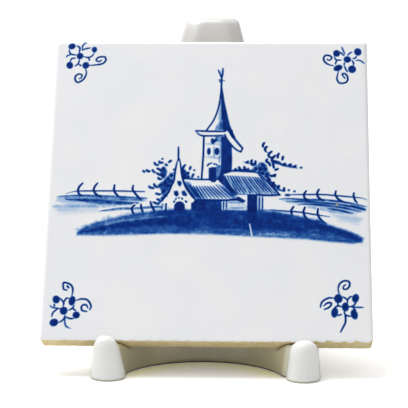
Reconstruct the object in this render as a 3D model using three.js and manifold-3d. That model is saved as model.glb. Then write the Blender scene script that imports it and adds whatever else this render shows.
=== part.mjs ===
// A tin-glazed painted tile leaning on a one-piece white porcelain stand.
// Millimetres, +Z up, the painted face looks along -Y, origin on the floor under the middle of the object.
import * as THREE from "three";
import { mergeVertices } from "three/addons/utils/BufferGeometryUtils.js";
import Module from "manifold-3d";

// Tile
const TILE_SIDE = 130;
const TILE_CORNER_RADIUS = 1;
const BODY_THICKNESS = 9;
const GLAZE_THICKNESS = 0.5;
const GLAZE_EDGE_ROUNDING = 0.3;
const LAYER_GAP = 0.05;
const PAINT_THICKNESS = 0.12;

// How the tile sits: the front bottom edge of its glaze is the line that everything is placed from
const LEAN_DEGREES = 28.5;
const EDGE_HEIGHT = 14.2;
const EDGE_SETBACK = 9;
const SEAT_CLEARANCE = 0.3;

// Toes
const TOE_SPACING = 75.4;
const TOE_WIDTH = 13.6;
const TOE_TOP_WIDTH = 9.6;
const TOE_FACE_LEAN = 3.2;
const TOE_BULGE_HEIGHT = 5.6;
const TOE_ROOT_DEPTH = 10;
const LIP_RISE = 2;
const LIP_ROUNDING = 3;

// Back rest, a shell that is open behind and underneath
const REST_STRAIGHT_SIDE = 8;
const REST_TOP_WIDTH = 30;
const REST_BEVEL_WIDTH = 6.6;
const REST_BEVEL_DEPTH = 4.6;
const TONGUE_LENGTH = 15.8;
const TONGUE_CORNER_RADIUS = 2.5;
const TONGUE_DEPTH = 7.5;
const REAR_FOOT_REACH = 3;
const REAR_WAIST_INSET = 9;
const SHELL_WALL = 5;
const SHELL_TOP_MARGIN = 36;
const HOLLOW_CORNER_RADIUS = 5;

// Brush widths
const LINE_WIDTH = 0.6;
const FINE_LINE_WIDTH = 0.45;
const TRUNK_WIDTH = 2;
const BOUGH_WIDTH = 1.4;
const TWIG_WIDTH = 1;

// Fences: each post leans like a brush flick, and each stands a little lower than the one before
const FENCE_POST_HEIGHT = 5;
const FENCE_POST_FLICK = 1.25;
const FAR_FENCE_FALL = 0.6;
const NEAR_FENCE_FALL = 1;

// Corner flowers
const FLOWER_INSET_X = 9.7;
const FLOWER_INSET_Y = 10.5;
const FLOWER_HEART_RADIUS = 1.25;
const FLOWER_TIP_RADIUS = 1.25;
const PETAL_BULGE = 1.7;

// Drawing points are in hundred-and-thirtieths of the tile's side, counted from the middle of the face
const DRAWING_DIVISIONS = 130;
const PETAL_BELLY_SHARE = 0.45;

// Smoothness of round stretches
const CUT_SIDES = 72;
const ARC_STEPS = 10;
const CORNER_STEPS = 4;
const EDGE_STEPS = 2;
const STROKE_STEPS = 6;
const DOT_SIDES = 10;
const MERGE_TOLERANCE = 1e-4;

// Finishes
const PORCELAIN = { color: "#eeeeea", roughness: 0.15, metalness: 0 };
const CLAY = { color: "#c8b68c", roughness: 0.9, metalness: 0 };
const TIN_GLAZE = { color: "#eeeef0", roughness: 0.12, metalness: 0 };
const COBALT = { color: "#12448f", roughness: 0.2, metalness: 0 };

// Worked out from the values above
const LEAN = THREE.MathUtils.degToRad(LEAN_DEGREES);
const TILE_THICKNESS = BODY_THICKNESS + LAYER_GAP + GLAZE_THICKNESS;
const REST_DISTANCE = TILE_THICKNESS + SEAT_CLEARANCE;
const LIP_HEIGHT = EDGE_HEIGHT + LIP_RISE;
const BASE_WIDTH = TOE_SPACING + TOE_WIDTH;
const CUT_RADIUS = (TOE_SPACING - TOE_WIDTH) / 2;
const TONGUE_TOP = TILE_SIDE + TONGUE_LENGTH;
const DRAWING_UNIT = TILE_SIDE / DRAWING_DIVISIONS;

// A point of the leaning tile's frame as a place in the side view: up the face, and out of the face
function sideView(up, out) {
  return new THREE.Vector2(
    EDGE_SETBACK + up * Math.sin(LEAN) - out * Math.cos(LEAN),
    EDGE_HEIGHT + up * Math.cos(LEAN) + out * Math.sin(LEAN),
  );
}

const REST_TOP_POINT = sideView(TONGUE_TOP, -REST_DISTANCE);
const REAR_TOP_Y = REST_TOP_POINT.x + TONGUE_DEPTH;
const STAND_DEPTH = REAR_TOP_Y + REAR_FOOT_REACH;
const STAND_HEIGHT = REST_TOP_POINT.y;
const REST_FLOOR_UP = -(EDGE_HEIGHT - REST_DISTANCE * Math.sin(LEAN)) / Math.cos(LEAN);
// Far enough below the floor that the bevel of the lower edge is below it too
const REST_LOW_END = REST_FLOOR_UP - REST_BEVEL_WIDTH * 2;

// Longer than anything that is cut, for shapes that have to run right through
const THROUGH = STAND_DEPTH + STAND_HEIGHT;

const wasm = await Module();
wasm.setup();

// Solids for cutting and joining

function solid(geometry) {
  const bare = new THREE.BufferGeometry();
  const source = geometry.index ? geometry.toNonIndexed() : geometry;
  bare.setAttribute("position", source.getAttribute("position"));
  const merged = mergeVertices(bare, MERGE_TOLERANCE);
  return new wasm.Manifold(
    new wasm.Mesh({
      numProp: 3,
      vertProperties: merged.attributes.position.array,
      triVerts: new Uint32Array(merged.index.array),
    }),
  );
}

function geometryOf(made) {
  const mesh = made.getMesh();
  const geometry = new THREE.BufferGeometry();
  geometry.setAttribute("position", new THREE.BufferAttribute(mesh.vertProperties, 3));
  geometry.setIndex(new THREE.BufferAttribute(mesh.triVerts, 1));
  geometry.computeVertexNormals();
  return geometry;
}

function joined(geometries) {
  return geometries.map(solid).reduce((whole, next) => whole.add(next));
}

// Placing an outline's extrusion

function leaned(geometry) {
  geometry.rotateX(Math.PI / 2 - LEAN);
  return geometry.translate(0, EDGE_SETBACK, EDGE_HEIGHT);
}

function pulledAlongZ(shape, from, to) {
  const geometry = new THREE.ExtrudeGeometry(shape, {
    depth: to - from,
    bevelEnabled: false,
    curveSegments: ARC_STEPS,
  });
  return geometry.translate(0, 0, from);
}

// An outline drawn in the side view, y to the right and z up, pulled out along X
function pulledAlongX(shape, from, to) {
  const geometry = pulledAlongZ(shape, from, to);
  geometry.rotateX(Math.PI / 2);
  return geometry.rotateZ(Math.PI / 2);
}

// An outline drawn in the front view, x to the right and z up, pulled out along Y
function pulledAlongY(shape, from, to) {
  return pulledAlongZ(shape, -to, -from).rotateX(Math.PI / 2);
}

function uprightCylinder(radius) {
  const geometry = new THREE.CylinderGeometry(radius, radius, THROUGH * 2, CUT_SIDES);
  return geometry.rotateX(Math.PI / 2);
}

// Tile

function roundedSquare(side, radius) {
  const shape = new THREE.Shape();
  const inner = side / 2 - radius;
  shape.absarc(inner, side - radius, radius, 0, Math.PI / 2);
  shape.absarc(-inner, side - radius, radius, Math.PI / 2, Math.PI);
  shape.absarc(-inner, radius, radius, Math.PI, Math.PI * 1.5);
  shape.absarc(inner, radius, radius, Math.PI * 1.5, Math.PI * 2);
  return shape;
}

function tileBody() {
  const geometry = new THREE.ExtrudeGeometry(roundedSquare(TILE_SIDE, TILE_CORNER_RADIUS), {
    depth: BODY_THICKNESS,
    bevelEnabled: false,
    curveSegments: CORNER_STEPS,
  });
  return geometry.translate(0, 0, -TILE_THICKNESS);
}

function tileGlaze() {
  const geometry = new THREE.ExtrudeGeometry(roundedSquare(TILE_SIDE, TILE_CORNER_RADIUS), {
    depth: GLAZE_THICKNESS - GLAZE_EDGE_ROUNDING,
    bevelThickness: GLAZE_EDGE_ROUNDING,
    bevelSize: GLAZE_EDGE_ROUNDING,
    bevelOffset: -GLAZE_EDGE_ROUNDING,
    bevelSegments: EDGE_STEPS,
    curveSegments: CORNER_STEPS,
  });
  // The rounding is on both faces, so what lies behind the glaze's seat on the clay is cut off
  const behind = new THREE.BoxGeometry(THROUGH, THROUGH, THROUGH);
  behind.translate(0, TILE_SIDE / 2, -THROUGH / 2);
  const cut = geometryOf(solid(geometry).subtract(solid(behind)));
  return cut.translate(0, 0, -GLAZE_THICKNESS);
}

// Stand

// Half the back rest's width at a height up the tile: straight beside the toes, then tapering to its top
function restHalfWidth(up) {
  const share = Math.max(0, (up - REST_STRAIGHT_SIDE) / (TILE_SIDE - REST_STRAIGHT_SIDE));
  return THREE.MathUtils.lerp(BASE_WIDTH, REST_TOP_WIDTH, share) / 2;
}

// The tapered outline of the back rest, seen square to the tile. It ends well below the floor.
function restOutline(inset, top, radius) {
  const lowHalf = restHalfWidth(REST_LOW_END) - inset;
  const topHalf = restHalfWidth(top) - inset;
  const shoulderHalf = restHalfWidth(top - radius) - inset;
  const shape = new THREE.Shape();
  shape.moveTo(-lowHalf, REST_STRAIGHT_SIDE);
  shape.lineTo(-lowHalf, REST_LOW_END);
  shape.lineTo(lowHalf, REST_LOW_END);
  shape.lineTo(lowHalf, REST_STRAIGHT_SIDE);
  shape.lineTo(shoulderHalf, top - radius);
  shape.quadraticCurveTo(topHalf, top, topHalf - radius, top);
  shape.lineTo(radius - topHalf, top);
  shape.quadraticCurveTo(-topHalf, top, -shoulderHalf, top - radius);
  return shape;
}

// The same outline carried straight on past both ends, so that its bevel shows on the two sides alone
function restBevelOutline() {
  const lowHalf = restHalfWidth(REST_LOW_END);
  const topHalf = restHalfWidth(TONGUE_TOP);
  const end = TONGUE_TOP + REST_BEVEL_WIDTH * 2;
  const shape = new THREE.Shape();
  shape.moveTo(-lowHalf, REST_STRAIGHT_SIDE);
  shape.lineTo(-lowHalf, REST_LOW_END);
  shape.lineTo(lowHalf, REST_LOW_END);
  shape.lineTo(lowHalf, REST_STRAIGHT_SIDE);
  shape.lineTo(topHalf, TONGUE_TOP);
  shape.lineTo(topHalf, end);
  shape.lineTo(-topHalf, end);
  shape.lineTo(-topHalf, TONGUE_TOP);
  return shape;
}

function restPrism() {
  const bevelled = new THREE.ExtrudeGeometry(restBevelOutline(), {
    depth: THROUGH,
    bevelThickness: REST_BEVEL_DEPTH,
    bevelSize: REST_BEVEL_WIDTH,
    bevelOffset: -REST_BEVEL_WIDTH,
    bevelSegments: 1,
    curveSegments: CORNER_STEPS,
  });
  bevelled.translate(0, 0, -REST_DISTANCE - REST_BEVEL_DEPTH - THROUGH);
  const outline = restOutline(0, TONGUE_TOP, TONGUE_CORNER_RADIUS);
  const rounded = pulledAlongZ(outline, -REST_DISTANCE - THROUGH, 0);
  return solid(leaned(bevelled)).intersect(solid(leaned(rounded)));
}

// Everything between the floor and the curved rear edge, from the side
function rearLimit() {
  const shape = new THREE.Shape();
  shape.moveTo(-THROUGH, 0);
  shape.lineTo(STAND_DEPTH, 0);
  shape.quadraticCurveTo(STAND_DEPTH - 2 * REAR_WAIST_INSET, STAND_HEIGHT / 2, REAR_TOP_Y, STAND_HEIGHT);
  shape.lineTo(REAR_TOP_Y, THROUGH);
  shape.lineTo(-THROUGH, THROUGH);
  shape.closePath();
  return pulledAlongX(shape, -THROUGH, THROUGH);
}

function shellHollow() {
  const outline = restOutline(SHELL_WALL, TONGUE_TOP - SHELL_TOP_MARGIN, HOLLOW_CORNER_RADIUS);
  const front = -REST_DISTANCE - SHELL_WALL;
  return leaned(pulledAlongZ(outline, front - THROUGH, front));
}

function toePlan(centre, rear) {
  const radius = TOE_WIDTH / 2;
  const shape = new THREE.Shape();
  shape.absarc(centre, radius, radius, Math.PI, Math.PI * 2);
  shape.lineTo(centre + radius, rear);
  shape.lineTo(centre - radius, rear);
  shape.closePath();
  return pulledAlongZ(shape, 0, LIP_HEIGHT);
}

function toeFrontView(centre, rear) {
  const half = TOE_WIDTH / 2;
  const topHalf = TOE_TOP_WIDTH / 2;
  const shoulder = LIP_HEIGHT - topHalf;
  const shape = new THREE.Shape();
  shape.moveTo(centre - half, 0);
  shape.lineTo(centre + half, 0);
  shape.lineTo(centre + topHalf, shoulder);
  shape.absarc(centre, shoulder, topHalf, 0, Math.PI);
  shape.closePath();
  return pulledAlongY(shape, 0, rear);
}

function toeSideView(rear) {
  const shape = new THREE.Shape();
  shape.moveTo(0, 0);
  shape.lineTo(rear, 0);
  shape.lineTo(rear, LIP_HEIGHT);
  shape.lineTo(TOE_FACE_LEAN + LIP_ROUNDING, LIP_HEIGHT);
  shape.quadraticCurveTo(TOE_FACE_LEAN, LIP_HEIGHT, TOE_FACE_LEAN, LIP_HEIGHT - LIP_ROUNDING);
  shape.quadraticCurveTo(0, TOE_BULGE_HEIGHT, 0, 0);
  return pulledAlongX(shape, -THROUGH, THROUGH);
}

// One toe with its lip, running back far enough to become part of the shell
function toe(centre) {
  const rear = sideView(0, -REST_DISTANCE).x + TOE_ROOT_DEPTH;
  return solid(toePlan(centre, rear))
    .intersect(solid(toeFrontView(centre, rear)))
    .intersect(solid(toeSideView(rear)));
}

// The room that the tile needs, from its lower edge up and from behind it to just in front of it
function tileRoom() {
  const depth = REST_DISTANCE + SEAT_CLEARANCE;
  const box = new THREE.BoxGeometry(THROUGH, TILE_SIDE, depth);
  box.translate(0, TILE_SIDE / 2 - SEAT_CLEARANCE, SEAT_CLEARANCE - depth / 2);
  return solid(leaned(box));
}

function stand() {
  const cut = solid(uprightCylinder(CUT_RADIUS));
  const cutWithWall = solid(uprightCylinder(CUT_RADIUS + SHELL_WALL));
  const toes = toe(-TOE_SPACING / 2).add(toe(TOE_SPACING / 2));
  const hollow = solid(shellHollow()).subtract(cutWithWall).subtract(toes);
  const shell = restPrism().intersect(solid(rearLimit())).subtract(hollow);
  return geometryOf(shell.add(toes).subtract(cut).subtract(tileRoom()));
}

// Painting: flat patches on the face

function painted(shape) {
  const geometry = pulledAlongZ(shape, LAYER_GAP, LAYER_GAP + PAINT_THICKNESS);
  return geometry.translate(0, TILE_SIDE / 2, 0);
}

// A place on the face in millimetres, from a place in drawing units
function onFace([x, y]) {
  return new THREE.Vector2(x * DRAWING_UNIT, y * DRAWING_UNIT);
}

function patch(points) {
  return painted(new THREE.Shape(points.map(onFace)));
}

function roundDot(centre, radius) {
  const shape = new THREE.Shape();
  for (let i = 0; i < DOT_SIDES; i += 1) {
    const turn = (i / DOT_SIDES) * Math.PI * 2;
    const place = [centre.x + radius * Math.cos(turn), centre.y + radius * Math.sin(turn)];
    if (i === 0) shape.moveTo(...place);
    else shape.lineTo(...place);
  }
  return painted(shape);
}

// A brush line of one width along a smooth curve through places in millimetres
function brushLine(places, width) {
  const curve = new THREE.SplineCurve(places);
  const left = [];
  const right = [];
  for (let i = 0; i <= STROKE_STEPS; i += 1) {
    const place = curve.getPoint(i / STROKE_STEPS);
    const along = curve.getTangent(i / STROKE_STEPS);
    const aside = new THREE.Vector2(-along.y, along.x).multiplyScalar(width / 2);
    left.push(place.clone().add(aside));
    right.unshift(place.clone().sub(aside));
  }
  return painted(new THREE.Shape([...left, ...right]));
}

function stroke(points, width = LINE_WIDTH) {
  return brushLine(points.map(onFace), width);
}

function mound() {
  const crest = [[-52.5, -21.2], [-30, -15], [-4.5, -10.4], [10, -10.2], [27, -11.6], [47.5, -16.8]];
  const rightEnd = [[61.2, -22.8]];
  const foot = [[60, -24.8], [27, -22], [0, -21.2], [-30, -21.6]];
  return patch([...crest, ...rightEnd, ...foot]);
}

function church() {
  const spireLeft = [[4.4, 47], [3.6, 35], [1.6, 28.5], [-1, 24.2]];
  const spireRight = [[6.4, 23.4], [11.5, 17.5], [8.6, 24.5], [5.6, 36]];
  const shadedSide = [[5, 4], [9.7, 4], [9.9, 19], [6, 23.2], [5, 22.4]];
  const door = [[0.3, 1], [5.4, 1], [5.4, 8.2], [0.3, 8.4]];
  return [
    patch([...spireLeft, ...spireRight]),
    patch(shadedSide),
    patch(door),
    stroke([[4.4, 46.5], [4.2, 49.5], [3.4, 52]], FINE_LINE_WIDTH),
    stroke([[4.4, 46.5], [4.7, 49.5], [5.3, 52.6]], FINE_LINE_WIDTH),
    stroke([[3, 47.9], [6, 47.5]], FINE_LINE_WIDTH),
    stroke([[-5.4, 24.2], [0, 24], [6.2, 23.6]]),
    stroke([[-5.4, 24.2], [-2.4, 22.3], [5.2, 22.3]]),
    stroke([[6.2, 23.4], [10.5, 19], [13.8, 16]]),
    stroke([[13.8, 16.1], [12.7, 14.4], [9.3, 16.8]]),
    stroke([[-1.9, 22.4], [-2, 12], [-2.4, 1.6]]),
  ];
}

function cottage() {
  return [
    stroke([[-12.5, 16.8], [-13.4, 8], [-16, -1.5], [-19.6, -8.6]]),
    stroke([[-12.5, 16.8], [-11.2, 7.5], [-8.6, -1.5], [-4.9, -8.2]]),
    stroke([[-19.5, -8.3], [-20, -10], [-19.6, -12.5]]),
    patch([[-13.6, -8.4], [-12.2, -7.4], [-10.6, -7.4], [-9.2, -8.4], [-9.2, -11.6], [-13.6, -11.6]]),
  ];
}

function barns() {
  return [
    patch([[-7.6, 1.7], [3.6, 2.1], [13.9, -6.5], [-3.9, -6.1]]),
    patch([[5, 5.9], [19.6, 5.9], [28.6, -3.6], [10.2, -3.3]]),
    patch([[-5.6, -5], [5.9, -5], [5.9, -12], [-5.6, -12]]),
    patch([[15.7, -2.5], [19.6, -2.5], [19.6, -14], [15.7, -14]]),
    stroke([[20.8, -2.6], [20.8, -13]], FINE_LINE_WIDTH),
    stroke([[22, -2.6], [22, -13]], FINE_LINE_WIDTH),
  ];
}

function trees() {
  return [
    stroke([[-18.6, -7], [-19.5, -2], [-21, 3], [-21.4, 8.4]], TRUNK_WIDTH),
    stroke([[-21, 3.5], [-25.8, 6.4]], TWIG_WIDTH),
    stroke([[-19.5, -2], [-24.8, 0.4]], TWIG_WIDTH),
    stroke([[-9.6, 2], [-9.2, 6], [-7.6, 9.6]], BOUGH_WIDTH),
    stroke([[10, 5.7], [17, 7], [22, 8.6], [27, 9.4], [36.4, 8.2]], BOUGH_WIDTH),
    stroke([[24.6, 9.4], [23.4, 14], [21.8, 18.2]], BOUGH_WIDTH),
    stroke([[21.6, 8.2], [24.4, 2], [29, -1.8], [34.6, -3]], BOUGH_WIDTH),
  ];
}

// One fence post whose foot lies at a point
function fencePost(foot) {
  const { x, y } = onFace(foot);
  return brushLine(
    [
      new THREE.Vector2(x - FENCE_POST_FLICK / 2, y + FENCE_POST_HEIGHT),
      new THREE.Vector2(x - FENCE_POST_FLICK, y + FENCE_POST_HEIGHT / 2),
      new THREE.Vector2(x + FENCE_POST_FLICK, y),
    ],
    LINE_WIDTH,
  );
}

function nearFences() {
  return [
    stroke([[-31, -10], [-25, -9.6], [-18, -9.3]], FINE_LINE_WIDTH),
    ...[-29.6, -26, -21.8].map((x) => fencePost([x, -13.4])),
    stroke([[26, -10.3], [38, -10.9], [48.6, -12.7]], FINE_LINE_WIDTH),
    ...[34, 39.6, 45.4].map((x, i) => fencePost([x, -14.4 - i * NEAR_FENCE_FALL])),
    stroke([[26, -10.4], [25, -11.8], [26, -13]], FINE_LINE_WIDTH),
  ];
}

function village() {
  return joined([mound(), ...church(), ...cottage(), ...barns(), ...trees(), ...nearFences()]);
}

function fenceLeft() {
  return joined([
    stroke([[-57, -3.4], [-48, -2.4], [-27, -2.8]], FINE_LINE_WIDTH),
    stroke([[-60.5, -4.9], [-45, -4.4], [-26, -5.6]]),
    stroke([[-56, -5.8], [-45, -6.2], [-30, -7.4]], FINE_LINE_WIDTH),
    stroke([[-46, -4.4], [-45.6, -5.4], [-44, -6.4]], FINE_LINE_WIDTH),
    ...[-51, -44.8, -37.2, -29.8].map((x) => fencePost([x, -4.7])),
  ]);
}

function fenceRight() {
  return joined([
    stroke([[36.6, -3.2], [48, -3.2], [63, -5.4]], FINE_LINE_WIDTH),
    stroke([[30.4, -5.4], [45, -5.5], [62.6, -8.2]]),
    stroke([[37, -7.2], [48, -7.4], [57.5, -10.4]], FINE_LINE_WIDTH),
    stroke([[48, -5.6], [49, -6.6], [50, -7.8]], FINE_LINE_WIDTH),
    ...[39.2, 44.8, 52.2, 59.8].map((x, i) => fencePost([x, -5.3 - i * FAR_FENCE_FALL])),
  ]);
}

// A corner flower is drawn from its heart, towards the middle of the tile's width and of its height
function cornerFlower(toRight, toTop) {
  const heart = new THREE.Vector2(
    toRight * (TILE_SIDE / 2 - FLOWER_INSET_X),
    toTop * (TILE_SIDE / 2 - FLOWER_INSET_Y),
  );
  const place = (u, v) => new THREE.Vector2(heart.x - toRight * u, heart.y - toTop * v);
  const placed = ([u, v]) => place(u * DRAWING_UNIT, v * DRAWING_UNIT);
  const petalSide = ([u, v], side) => {
    const bulge = (side * PETAL_BULGE) / Math.hypot(u, v);
    const belly = [u * PETAL_BELLY_SHARE - v * bulge, v * PETAL_BELLY_SHARE + u * bulge];
    return brushLine([[0, 0], belly, [u, v]].map(placed), FINE_LINE_WIDTH);
  };
  const petal = (tip) => [petalSide(tip, 1), petalSide(tip, -1), roundDot(placed(tip), FLOWER_TIP_RADIUS)];
  const tendril = (points) => brushLine(points.map(placed), FINE_LINE_WIDTH);
  return joined([
    roundDot(heart, FLOWER_HEART_RADIUS),
    ...[[2.6, 3.8], [-4.2, 4], [4.8, -2.6], [-3.6, -4]].flatMap(petal),
    tendril([[2.4, 3.8], [3, 8], [2.2, 10.9], [-0.6, 12], [-2, 9.8], [-0.4, 8.7]]),
    tendril([[2.6, 3.8], [6, 4.4], [9.3, 3.9], [10.8, 2.2], [9.4, 0.6], [7, 1.6]]),
    tendril([[0.2, 0], [0.4, -3], [2.4, -6.2]]),
    tendril([[0, 0], [-2, -0.2], [-4.4, -0.5], [-6, 0.8]]),
  ]);
}

// The scene graph

function named(name, geometry, finish) {
  const mesh = new THREE.Mesh(geometry, new THREE.MeshStandardMaterial(finish));
  mesh.name = name;
  return mesh;
}

const tile = new THREE.Group();
tile.rotation.x = Math.PI / 2 - LEAN;
tile.position.set(0, EDGE_SETBACK, EDGE_HEIGHT);
tile.add(named("tile_body", tileBody(), CLAY));
tile.add(named("tile_glaze", tileGlaze(), TIN_GLAZE));
tile.add(named("painted_village", geometryOf(village()), COBALT));
tile.add(named("painted_fence_left", geometryOf(fenceLeft()), COBALT));
tile.add(named("painted_fence_right", geometryOf(fenceRight()), COBALT));
const CORNERS = [["top_left", -1, 1], ["top_right", 1, 1], ["bottom_left", -1, -1], ["bottom_right", 1, -1]];
for (const [corner, toRight, toTop] of CORNERS) {
  tile.add(named(`painted_flower_${corner}`, geometryOf(cornerFlower(toRight, toTop)), COBALT));
}

const part = new THREE.Group();
part.position.y = -STAND_DEPTH / 2;
part.add(named("stand", stand(), PORCELAIN));
part.add(tile);

export default part;
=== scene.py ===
import math

import bpy
import numpy as np
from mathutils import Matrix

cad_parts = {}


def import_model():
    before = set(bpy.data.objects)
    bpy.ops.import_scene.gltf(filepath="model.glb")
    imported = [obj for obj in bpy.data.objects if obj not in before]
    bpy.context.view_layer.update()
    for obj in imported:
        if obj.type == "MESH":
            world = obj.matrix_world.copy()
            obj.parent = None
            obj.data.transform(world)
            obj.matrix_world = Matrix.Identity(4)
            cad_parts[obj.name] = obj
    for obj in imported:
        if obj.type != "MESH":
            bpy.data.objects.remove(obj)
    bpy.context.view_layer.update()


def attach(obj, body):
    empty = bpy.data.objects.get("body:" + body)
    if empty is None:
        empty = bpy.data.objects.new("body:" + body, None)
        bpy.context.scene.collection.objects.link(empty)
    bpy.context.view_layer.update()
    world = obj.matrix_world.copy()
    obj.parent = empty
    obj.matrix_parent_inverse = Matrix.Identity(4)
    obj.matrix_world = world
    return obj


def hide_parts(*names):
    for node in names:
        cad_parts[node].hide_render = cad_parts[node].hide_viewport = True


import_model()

# Sizes in millimetres, as the CAD has them. Y runs from the front of the toes.
MM = 0.001
STAND_DEPTH = 97.726
STAND_HEIGHT = 137.63
TILE_SIDE = 130.0
TILE_THICKNESS = 9.5
LEAN = math.radians(28.5)
EDGE_HEIGHT = 14.2
EDGE_SETBACK = 9.0
SEAT_CLEARANCE = 0.3
GLAZE_GAP = 0.05
REST_FRONT = -(TILE_THICKNESS + GLAZE_GAP + SEAT_CLEARANCE)
REST_FOOT_WIDTH = 89.0
REST_TOP_WIDTH = 31.0
REST_STRAIGHT_SIDE = 8.0
REST_BEVEL_WIDTH = 6.6
REST_BEVEL_DEPTH = 4.6
TONGUE_HEIGHT = 137.5
TONGUE_EDGE = 2.4
TONGUE_SIDE_EDGE = 1.8
HORSESHOE_X = -1.1
HORSESHOE_Y = 0.4
HORSESHOE_RADIUS = 32.2
HORSESHOE_LEAN = 0.1
HORSESHOE_TOP = 16.0
SHELL_WALL = 5.0
HOLLOW_TOP = 109.8
REAR_CURVE = (97.726, 79.726, 94.726)


def shade(value):
    """A linear colour from a grey level, or from the red, green and blue of 0 to 255 that a screen shows."""
    def linear(part):
        part /= 255.0
        return part / 12.92 if part <= 0.04045 else ((part + 0.055) / 1.055) ** 2.4
    if isinstance(value, tuple):
        return (*map(linear, value), 1.0)
    return (value, value, value, 1.0)


def tile_point(x, u, w):
    """Metres from the tile's own axes: x across, u up its face from the lower edge, w out of its face."""
    back = EDGE_SETBACK + u * math.sin(LEAN) - w * math.cos(LEAN)
    up = EDGE_HEIGHT + u * math.cos(LEAN) + w * math.sin(LEAN)
    return np.stack([x * MM, (back - STAND_DEPTH / 2) * MM, up * MM], axis=-1)


def make_object(name, vertices, faces, smooth=True):
    mesh = bpy.data.meshes.new(name)
    mesh.from_pydata([tuple(v) for v in vertices], [], [tuple(f) for f in faces])
    mesh.validate()
    mesh.update()
    mesh.polygons.foreach_set("use_smooth", [smooth] * len(mesh.polygons))
    piece = bpy.data.objects.new(name, mesh)
    bpy.context.scene.collection.objects.link(piece)
    return piece


def set_attribute(piece, name, values):
    layer = piece.data.attributes.new(name, "FLOAT", "POINT")
    layer.data.foreach_set("value", np.asarray(values, dtype=np.float32))


def ease(value, start, length):
    """0 up to the start, and from there rising evenly to 1 over the length."""
    return np.clip((value - start) / length, 0.0, 1.0)


# Rounded joins of two distance fields: an outer edge, and an inner corner.
def round_edge(a, b, radius):
    outside = np.hypot(np.maximum(a + radius, 0.0), np.maximum(b + radius, 0.0))
    return np.minimum(np.maximum(a, b), -radius) + outside


def round_corner(a, b, radius):
    inside = np.hypot(np.maximum(radius - a, 0.0), np.maximum(radius - b, 0.0))
    return np.maximum(np.minimum(a, b), radius) - inside


# Each toe was pressed by hand: side, x at the foot and its drift outwards with height, radius at the foot
# with its linear and square loss with height, height of the shoulder, and height of the top.
TOES = (
    (-1, 37.85, 0.075, 6.95, 0.11, 0.005, 10.5, 16.2),
    (1, 37.9, 0.03, 6.75, 0.08, 0.003, 9.0, 15.1),
)
TOE_LEAN = 0.12
TOE_DOME = 3.0
TOE_ROOT = 27.7
TOE_BLEND = 0.4
TOE_WALL = 1.5
ARM_FRONT = 9.0
ARM_OUTSIDE = 41.5
ARM_TOP = 13.0
ARM_EDGE = 2.0
STAND_EDGE = 1.3
SEAT_EDGE = 0.8
FOOT_EDGE = 0.7
HOLLOW_EDGE = 4.0
STAND_STEP = 0.8
# The cells start a little off the round sizes, so that no flat face lies in a row of their corners.
GRID_OFFSET = 1.37
GRID_MARGIN = 2.0
SETTLE_ROUNDS = 4
# The attribute of painted shade and painted warm light off the clay on the round wall under the tile: how
# far off the round wall it ends, its share at the right, and where it eases in from the front, down from the
# wall's top and towards the left.
WALL_SHADE_REACH = 2.5
WALL_SHADE_RIGHT = 0.6
WALL_SHADE_FRONT = (7.0, 3.0)
WALL_SHADE_TOP = (0.0, 5.0)
WALL_SHADE_LEFT = (20.0, 10.0)


def toe_distance(x, y, z, toe):
    """A blunt toe with a domed top, drawn straight back into the wall."""
    side, foot_x, drift, foot_radius, loss, square_loss, shoulder, top = toe
    ahead = np.minimum(y - (foot_radius + TOE_LEAN * z), 0.0)
    across = np.hypot(side * x - foot_x - drift * z, ahead)
    low = np.clip(z, 0.0, top)
    radius = foot_radius - loss * low - square_loss * low * low
    climb = np.maximum(z - shoulder, 0.0) / (top - shoulder)
    shape = ((across / radius) ** TOE_DOME + climb ** TOE_DOME) ** (1 / TOE_DOME)
    return np.maximum((shape - 1.0) * radius, y - TOE_ROOT)


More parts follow.
